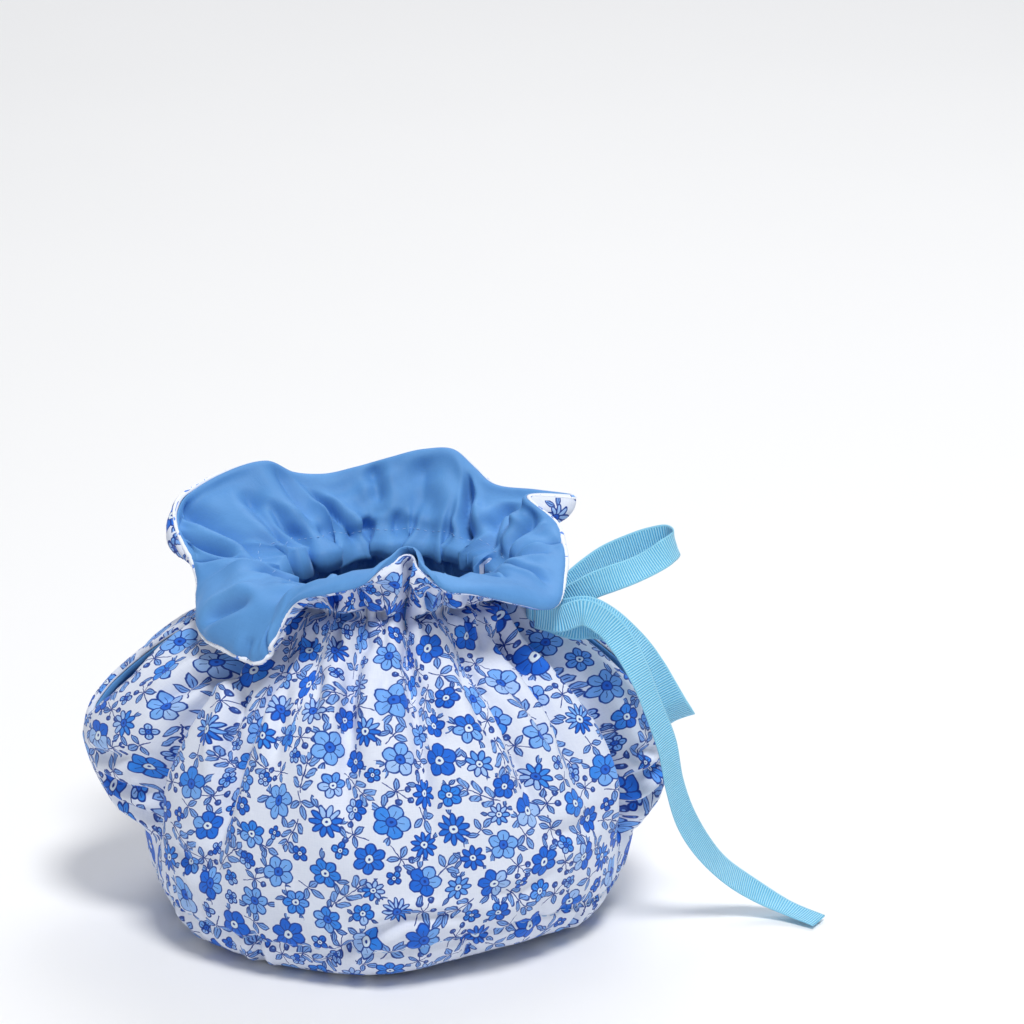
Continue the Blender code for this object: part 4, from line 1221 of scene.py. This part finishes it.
class Thread:
    """One output of a node. Sums on threads add Math nodes, and 1 - mask works as well as mask - 1."""

    def __init__(self, finish, socket):
        self.finish = finish
        self.socket = socket

    def maths(self, operation, *others, clamp=False):
        node = self.finish.tree.nodes.new("ShaderNodeMath")
        node.operation = operation
        node.use_clamp = clamp
        for place, value in enumerate((self, *others)):
            self.finish.give(node.inputs[place], value)
        return Thread(self.finish, node.outputs[0])

    def flipped(self, operation, other):
        node = self.finish.tree.nodes.new("ShaderNodeMath")
        node.operation = operation
        self.finish.give(node.inputs[0], other)
        self.finish.give(node.inputs[1], self)
        return Thread(self.finish, node.outputs[0])

    def __add__(self, other):
        return self.maths("ADD", other)

    def __sub__(self, other):
        return self.maths("SUBTRACT", other)

    def __mul__(self, other):
        return self.maths("MULTIPLY", other)

    def __truediv__(self, other):
        return self.maths("DIVIDE", other)

    def __rsub__(self, other):
        return self.flipped("SUBTRACT", other)

    def __rtruediv__(self, other):
        return self.flipped("DIVIDE", other)

    def __lt__(self, other):
        return self.maths("LESS_THAN", other)

    def __gt__(self, other):
        return self.maths("GREATER_THAN", other)

    def __abs__(self):
        return self.maths("ABSOLUTE")

    __radd__ = __add__
    __rmul__ = __mul__


class Finish:
    """One material and its net of nodes, with the shader that ends it."""

    def __init__(self, name, roughness, sheen):
        self.material = bpy.data.materials.new(name)
        self.material.use_nodes = True
        self.tree = self.material.node_tree
        self.shader = self.tree.nodes["Principled BSDF"]
        self.shader.inputs["Roughness"].default_value = roughness
        self.shader.inputs["Sheen Weight"].default_value = sheen
        self.shader.inputs["Sheen Roughness"].default_value = 0.45
        self.shader.inputs["Specular IOR Level"].default_value = 0.35

    def give(self, socket, value):
        if isinstance(value, Thread):
            self.tree.links.new(value.socket, socket)
        else:
            socket.default_value = value

    def node(self, kind, settings=None, inputs=None, output=0):
        """Adds a node of a type, sets its settings, fills its inputs by name or number, and returns one output."""
        made = self.tree.nodes.new(kind)
        for key, value in (settings or {}).items():
            if key == "stops":
                ramp_stops(made.color_ramp, value)
            else:
                setattr(made, key, value)
        for key, value in (inputs or {}).items():
            self.give(made.inputs[key], value)
        return Thread(self, made.outputs[output])

    def attribute(self, name):
        """The three numbers of a vector attribute."""
        vector = self.node("ShaderNodeAttribute", {"attribute_name": name}, output="Vector")
        return [self.node("ShaderNodeSeparateXYZ", inputs={0: vector}, output=k) for k in range(3)]

    def blend(self, below, above, mask):
        """The colour above laid over the colour below where the mask is 1."""
        return self.node("ShaderNodeMix", {"data_type": "RGBA"}, {0: mask, 6: below, 7: above}, output=2)

    def noise(self, vector, scale, detail=2.0, roughness=0.5):
        return self.node("ShaderNodeTexNoise", inputs={
            "Vector": vector, "Scale": scale, "Detail": detail, "Roughness": roughness})

    def graded(self, value, *stops):
        """A colour that runs through the stops as the value goes from 0 to 1."""
        return self.node("ShaderNodeValToRGB", {"stops": stops}, {0: value})

    def threaded(self, colour, threads, low):
        """The colour made a trace darker between the threads."""
        dim = self.graded(threads, (0.30, (*low, 1)), (0.70, (1.0, 1.0, 1.0, 1)))
        mix = {"data_type": "RGBA", "blend_type": "MULTIPLY"}
        return self.node("ShaderNodeMix", mix, {0: 1.0, 6: colour, 7: dim}, output=2)

    def bump(self, height, strength, distance):
        return self.node("ShaderNodeBump", inputs={"Height": height, "Strength": strength, "Distance": distance})

    def ends(self, colour, normal=None, roughness=None):
        self.give(self.shader.inputs["Base Color"], colour)
        if normal is not None:
            self.give(self.shader.inputs["Normal"], normal)
        if roughness is not None:
            self.give(self.shader.inputs["Roughness"], roughness)
        print(f"{self.material.name}: {len(self.tree.nodes)} nodes")
        return self.material


def ramp_stops(colour_ramp, stops):
    for element, (at, colour) in zip(colour_ramp.elements, stops[:2]):
        element.position, element.color = at, colour
    for at, colour in stops[2:]:
        colour_ramp.elements.new(at).color = colour


def shade(red, green, blue):
    """A dye's colour as a screen shows it, from 0 to 255, turned into the light values that Blender uses."""
    seen = np.array([red, green, blue]) / 255
    light = np.where(seen <= 0.04045, seen / 12.92, ((seen + 0.055) / 1.055) ** 2.4)
    return (*light.tolist(), 1.0)


def smallest(first, second):
    return first.maths("MINIMUM", second)


def largest(first, second):
    return first.maths("MAXIMUM", second)


def inside(gap, soft=0.03):
    """1 where a distance is below 0 and 0 where it is above, with an edge as soft as ink on cotton."""
    return (0.5 - gap / soft).maths("ADD", 0.0, clamp=True)


def rib_line(aside, s, low, high):
    """The distance to a leaf's rib, which runs from the low to the high share of the leaf."""
    return aside + ((s < low) + (s > high)) * AWAY


def inked(gap, line):
    """A line of that width just inside the edge of a shape."""
    return inside(abs(gap + line * 0.5) - line * 0.5)


# %% [markdown]
# ## Cloth under the print
# Plain cotton has threads both ways that are never quite even. Two noises, each drawn out along one direction of the
# cloth, give that: they change the height by a few hundredths of a millimetre and the colour by a trace.

# %% Weave


def weave(finish, fineness):
    """Threads across and along the cloth, from its flat coordinates in millimetres."""
    flat = finish.node("ShaderNodeUVMap", {"uv_map": "cloth"})
    across = finish.node("ShaderNodeMapping", inputs={"Vector": flat, "Scale": (fineness, fineness * 0.12, 1.0)})
    along = finish.node("ShaderNodeMapping", inputs={"Vector": flat, "Scale": (fineness * 0.12, fineness, 1.0)})
    threads = finish.noise(across, 1.0) + finish.noise(along, 1.0)
    return flat, threads * 0.5


# %% [markdown]
# ## The flower print
# Every face already knows its place in a motif, so the shader only has to draw one general motif. In the round, the
# angle is folded into one petal, and a petal is an ellipse. The distance to its edge gives the filled petal and its ink
# line. Straight lines folded about the stem give leaf pairs: a leaf is where the distance from its rib is below
# s times 1 - s, for s from 0 at its foot to 1 at its tip.

# %% Petals
AWAY = 9.0  # a distance so large that nothing is drawn there


def petals(finish, x, y, line, count, half):
    """Masks for one bloom: the petals' distance, their ink lines, the dark side and the distance from the middle."""
    far = (x * x + y * y).maths("SQRT")
    angle = y.maths("ARCTAN2", x)
    step = 2 * math.pi / count
    turn = (angle / step).maths("ROUND") * step
    aside = angle - turn
    along = far * aside.maths("COSINE") - 0.57
    across = far * aside.maths("SINE")
    u, v = along / 0.43, across / half
    ring = (u * u + v * v).maths("SQRT")
    slope = ((u / 0.43) * (u / 0.43) + (v / half) * (v / half)).maths("SQRT") + 0.001
    gap = ring * (ring - 1.0) / slope
    wedge = far * (step * 0.5 - abs(aside)).maths("SINE")
    split = (wedge < line * 0.45) * (far > 0.28)
    veins = (abs(across) < line * 0.28) * (far > 0.33) * (far < 0.66) * (half > 0.3)
    return far, turn, gap, inked(gap, line), split, veins


def leaf(x, y, foot_x, foot_y, lean_deg, long, wide):
    """The distance to a pointed leaf that starts at its foot and leans from straight down."""
    sine, cosine = math.sin(math.radians(lean_deg)), math.cos(math.radians(lean_deg))
    right, down = x - foot_x, foot_y - y
    s = (right * sine + down * cosine) / long
    aside = right * cosine - down * sine
    return abs(aside) - s * (1.0 - s) * (4 * wide), abs(aside), s


def sprig(x, y, line):
    """Leaves on both sides of a bent stem. Shearing the plane by the leaves' slant puts each pair in a strip of its
    own, and rounding finds the strip."""
    bent = x - (y * 2.2).maths("SINE") * 0.09
    side = abs(bent)
    slanted = y - side * 0.85 + 0.1
    strip = (slanted / 0.58).maths("ROUND")
    aside = (slanted - strip * 0.58) * 0.76
    s = (side / 0.76 - 0.04) / 0.60
    leaves = abs(aside) - s * (1.0 - s) * 0.74 + (abs(strip) > 1.5) * AWAY
    top, _, _ = leaf(bent, y, 0.0, 0.62, 180.0, 0.46, 0.14)
    stem = (side < line * 0.42) * (y > -0.98) * (y < 0.70)
    ribs = (abs(aside) < line * 0.24) * (s > -0.1) * (s < 0.72) * (abs(strip) < 1.5)
    return smallest(leaves, top), largest(stem, ribs)


def berry_fork(x, y, line):
    """Three berries, which are circles, on three stalks, with a pair of leaves below and a spot of light on each."""
    side = abs(x)
    right, over = side - 0.46, y - 0.30
    pair = (right * right + over * over).maths("SQRT")
    high = (x * x + (y - 0.78) * (y - 0.78)).maths("SQRT")
    berries = smallest(pair, high) - 0.20
    stalk = abs(side * 0.62 - (y + 0.08) * 0.78) + (right > -0.06) * AWAY + (y < -0.1) * AWAY
    stem = side + (y < -1.0) * AWAY + (y > 0.60) * AWAY
    leaves, rib, s = leaf(side, y, 0.02, -0.10, 58.0, 0.78, 0.19)
    lines = largest(smallest(stalk, stem) < line * 0.36, (rib < line * 0.26) * (s > 0.0) * (s < 0.7))
    lit = smallest(
        (right + 0.06) * (right + 0.06) + (over - 0.06) * (over - 0.06),
        (x + 0.06) * (x + 0.06) + (y - 0.84) * (y - 0.84),
    ) < 0.0028
    return berries, leaves, lines, lit


# %% Printed cotton
GROUND = shade(230, 236, 249)
LEAF_FILL = shade(126, 172, 236)
LEAF_INK = shade(38, 66, 144)
BLOOM_INK = shade(18, 60, 150)
HEART_WHITE = shade(226, 240, 250)
BERRY = shade(56, 92, 176)
BLUES = (
    (0.0, shade(178, 208, 248)), (1.0, shade(12, 98, 216)),
    (0.34, shade(120, 178, 246)), (0.66, shade(46, 138, 238)),
)


def printed_cotton():
    finish = Finish("printed_cotton", 0.72, 0.12)
    flat, threads = weave(finish, 2.4)
    x, y, line = finish.attribute("bloom_place")
    count, half, _ = finish.attribute("bloom_form")
    tone, other, packed = finish.attribute("bloom_tone")
    behind_x, behind_y, line_b = finish.attribute("sprig_place")
    kind = finish.attribute("sprig_form")[2]
    leafy = packed > 5.0
    cut = packed - leafy * 10.0
    hand = (finish.noise(flat, 0.55, 1.0) - 0.5) * 0.14
    other_hand = (finish.noise(flat, 0.47, 1.0) - 0.5) * 0.14
    x, y, x_b, y_b = x + hand, y + other_hand, behind_x + hand, behind_y + other_hand
    twig = kind > 2.5
    berries = (kind > 1.5) * (1.0 - twig)

    far, turn, petal_gap, petal_ink, split, veins = petals(finish, x, y, line, count, half)
    petal = inside(petal_gap)
    dark_side = turn.maths("COSINE") > cut
    blue = tone + dark_side * (other - tone)
    blue = blue + (finish.noise(flat, 0.9, 2.0) - 0.5) * 0.10 - (1.0 - far).maths("MAXIMUM", 0.0) * 0.05

    pair, pair_aside, pair_s = leaf(abs(x), y, 0.05, -0.80, 42.0, 0.86, 0.19)
    third, third_aside, third_s = leaf(x, y, 0.58, 0.62, 132.0, 0.80, 0.18)
    leaves = smallest(pair, third) + (1.0 - leafy) * AWAY
    ribs = smallest(rib_line(pair_aside, pair_s, 0.1, 0.75), rib_line(third_aside, third_s, 0.1, 0.75))
    bloom_ribs = (ribs < line * 0.26) * leafy
    sprig_gap, sprig_ink = sprig(x_b, y_b, line_b)
    berry_gap, fork_leaves, fork_ink, berry_light = berry_fork(x_b, y_b, line_b)
    berry_gap = berry_gap + (1.0 - berries) * AWAY
    sprig_gap = sprig_gap + berries * (fork_leaves - sprig_gap)
    sprig_ink = sprig_ink + berries * (fork_ink - sprig_ink)
    wings, wing_aside, wing_s = leaf(abs(x_b), y_b, 0.04, -0.30, 112.0, 0.88, 0.23)
    crown, crown_aside, crown_s = leaf(x_b, y_b, 0.0, -0.12, 180.0, 1.02, 0.25)
    twig_ribs = smallest(rib_line(wing_aside, wing_s, 0.05, 0.7), rib_line(crown_aside, crown_s, 0.0, 0.7))
    twig_stem = (abs(x_b) < line_b * 0.4) * (y_b > -1.0) * (y_b < -0.1)
    sprig_gap = sprig_gap + twig * (smallest(wings, crown) - sprig_gap)
    sprig_ink = sprig_ink + twig * (largest(twig_ribs < line_b * 0.26, twig_stem) - sprig_ink)

    colour = finish.blend(GROUND, LEAF_FILL, inside(sprig_gap))
    colour = finish.blend(colour, LEAF_INK, largest(inked(sprig_gap, line_b * 0.9), sprig_ink))
    colour = finish.blend(colour, BERRY, inside(berry_gap))
    colour = finish.blend(colour, LEAF_INK, inked(berry_gap, line_b))
    colour = finish.blend(colour, LEAF_FILL, berry_light * berries)
    colour = finish.blend(colour, LEAF_FILL, inside(leaves))
    colour = finish.blend(colour, LEAF_INK, largest(inked(leaves, line * 0.9), bloom_ribs))
    colour = finish.blend(colour, finish.graded(blue, *BLUES), petal)
    ink = largest(largest(petal_ink, split), veins * 0.8) * petal
    colour = finish.blend(colour, BLOOM_INK, ink)
    heart = inside(far - 0.27)
    pale_heart = finish.blend(HEART_WHITE, shade(34, 104, 216), tone < 0.5)
    colour = finish.blend(colour, pale_heart, heart)
    rim = inside(abs(far - 0.27) - line * 0.4)
    dot = inside(far - 0.085)
    colour = finish.blend(colour, BLOOM_INK, largest(rim, dot) * (line < 0.2))
    colour = finish.threaded(colour, threads, (0.90, 0.91, 0.94))
    return finish.ends(colour, finish.bump(threads, 0.35, 0.00025))


# %% [markdown]
# ## Lining, edge, thread and ribbon
# The lining is a plain dyed cotton with a closer, smoother weave and a faint bluish sheen. The rolled edge is the same
# pale cotton as the print's ground, with now and then a bit of a motif. The ribbon has ribs across it, 0.85 mm apart,
# and two flat woven edges. Its colour follows the ribs: painted shade in the grooves and painted highlight on the tops.

# %% Plain finishes


def plain_cotton():
    finish = Finish("plain_cotton", 0.6, 0.3)
    finish.shader.inputs["Sheen Tint"].default_value = shade(140, 186, 240)
    flat, threads = weave(finish, 3.0)
    mottle = finish.noise(flat, 0.05, 3.0)
    colour = finish.graded(mottle, (0.30, shade(84, 144, 206)), (0.72, shade(100, 160, 220)))
    colour = finish.threaded(colour, threads, (0.88, 0.90, 0.93))
    return finish.ends(colour, finish.bump(threads, 0.45, 0.00025), 0.54 + mottle * 0.14)


def edge_cotton():
    finish = Finish("edge_cotton", 0.7, 0.15)
    flat, threads = weave(finish, 2.4)
    bits = finish.noise(flat, 0.32, 2.0)
    deep = finish.noise(flat, 0.9, 1.0)
    colour = finish.blend(shade(238, 242, 250), shade(90, 140, 226), inside(0.63 - bits))
    colour = finish.blend(colour, shade(45, 80, 170), inside(0.70 - deep))
    return finish.ends(colour, finish.bump(threads, 0.4, 0.0002))


def sewing_thread():
    finish = Finish("sewing_thread", 0.55, 0.2)
    place = finish.node("ShaderNodeTexCoord", output="Object")
    twist = finish.noise(place, 2600.0, 1.0)
    colour = finish.blend(shade(128, 176, 226), shade(168, 204, 240), twist)
    return finish.ends(colour, finish.bump(twist, 0.5, 0.0001))


def ribbon_with_painted_rib_shade():
    finish = Finish("ribbon", 0.42, 0.3)
    flat = finish.node("ShaderNodeUVMap", {"uv_map": "cloth"})
    side = finish.node("ShaderNodeSeparateXYZ", inputs={0: flat}, output=0)
    run = finish.node("ShaderNodeSeparateXYZ", inputs={0: flat}, output=1)
    uneven = finish.noise(flat, 0.8, 2.0)
    rib = (run * (2 * math.pi / 0.85) + uneven * 0.9).maths("SINE") * 0.5 + 0.5
    border = abs(side) > 3.95
    picks = (run * (2 * math.pi / 0.42)).maths("SINE") * 0.25 + 0.6
    height = rib + border * (picks - rib)
    # The colour follows the rib height: painted shade in the grooves between the ribs and painted highlight on the rib
    # tops, the woven edges too, with a little random tone.
    stops = ((0.0, shade(72, 168, 220)), (1.0, shade(180, 234, 254)), (0.45, shade(128, 212, 246)))
    colour = finish.graded(height * 0.85 + uneven * 0.2, *stops)
    return finish.ends(colour, finish.bump(height, 0.8, 0.0003))


def dress(piece, material):
    piece.data.materials.clear()
    piece.data.materials.append(material)


cotton = printed_cotton()
lining = plain_cotton()
edging = edge_cotton()
thread = sewing_thread()
ribbing = ribbon_with_painted_rib_shade()
for panel in (outer_front, outer_back):
    dress(panel, cotton)
for panel in (lining_front, lining_back):
    dress(panel, lining)
for line in (casing_stitches, hem_stitches):
    dress(line, thread)
for strip in (upper_loop, lower_loop, tail, knot):
    dress(strip, ribbing)
dress(collar_edge, edging)

# %% [markdown]
# ## The floor
# A large pale sheet under everything, far wider than the view, so that no edge of it shows from any side.

# %% Floor


def make_floor():
    """A disc: rings of points whose distance from the middle grows as the square of the ring's number."""
    rings, spokes = 8, 96
    far = (np.arange(1, rings + 1) / rings) ** 2 * 9000.0
    turn = np.linspace(0, 2 * math.pi, spokes, endpoint=False)
    points = np.stack([far[:, None] * np.cos(turn), far[:, None] * np.sin(turn), np.zeros((rings, spokes))], -1)
    index = np.arange(rings * spokes).reshape(rings, spokes)
    after = np.roll(index, -1, 1)
    faces = np.stack([index[:-1], index[1:], after[1:], after[:-1]], -1).reshape(-1, 4).tolist()
    mesh = bpy.data.meshes.new("floor")
    mesh.from_pydata((points.reshape(-1, 3) * MM).tolist(), [], faces + [index[0].tolist()])
    floor = bpy.data.objects.new("floor", mesh)
    bpy.context.scene.collection.objects.link(floor)
    finish = Finish("pale_floor", 0.9, 0.0)
    place = finish.node("ShaderNodeTexCoord", output="Object")
    colour = finish.blend((0.89, 0.89, 0.89, 1.0), (0.91, 0.91, 0.91, 1.0), finish.noise(place, 3.0))
    mesh.materials.append(finish.ends(colour))
    floor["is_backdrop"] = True


make_floor()

# %% Sizes and end
seen_low, seen_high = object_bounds()
sizes = {"solids": [list(solid_low), list(solid_high)], "seen": [list(seen_low), list(seen_high)]}
for name, (low, high) in sizes.items():
    print(name, [round(1000 * (b - a), 1) for a, b in zip(low, high)], "mm")
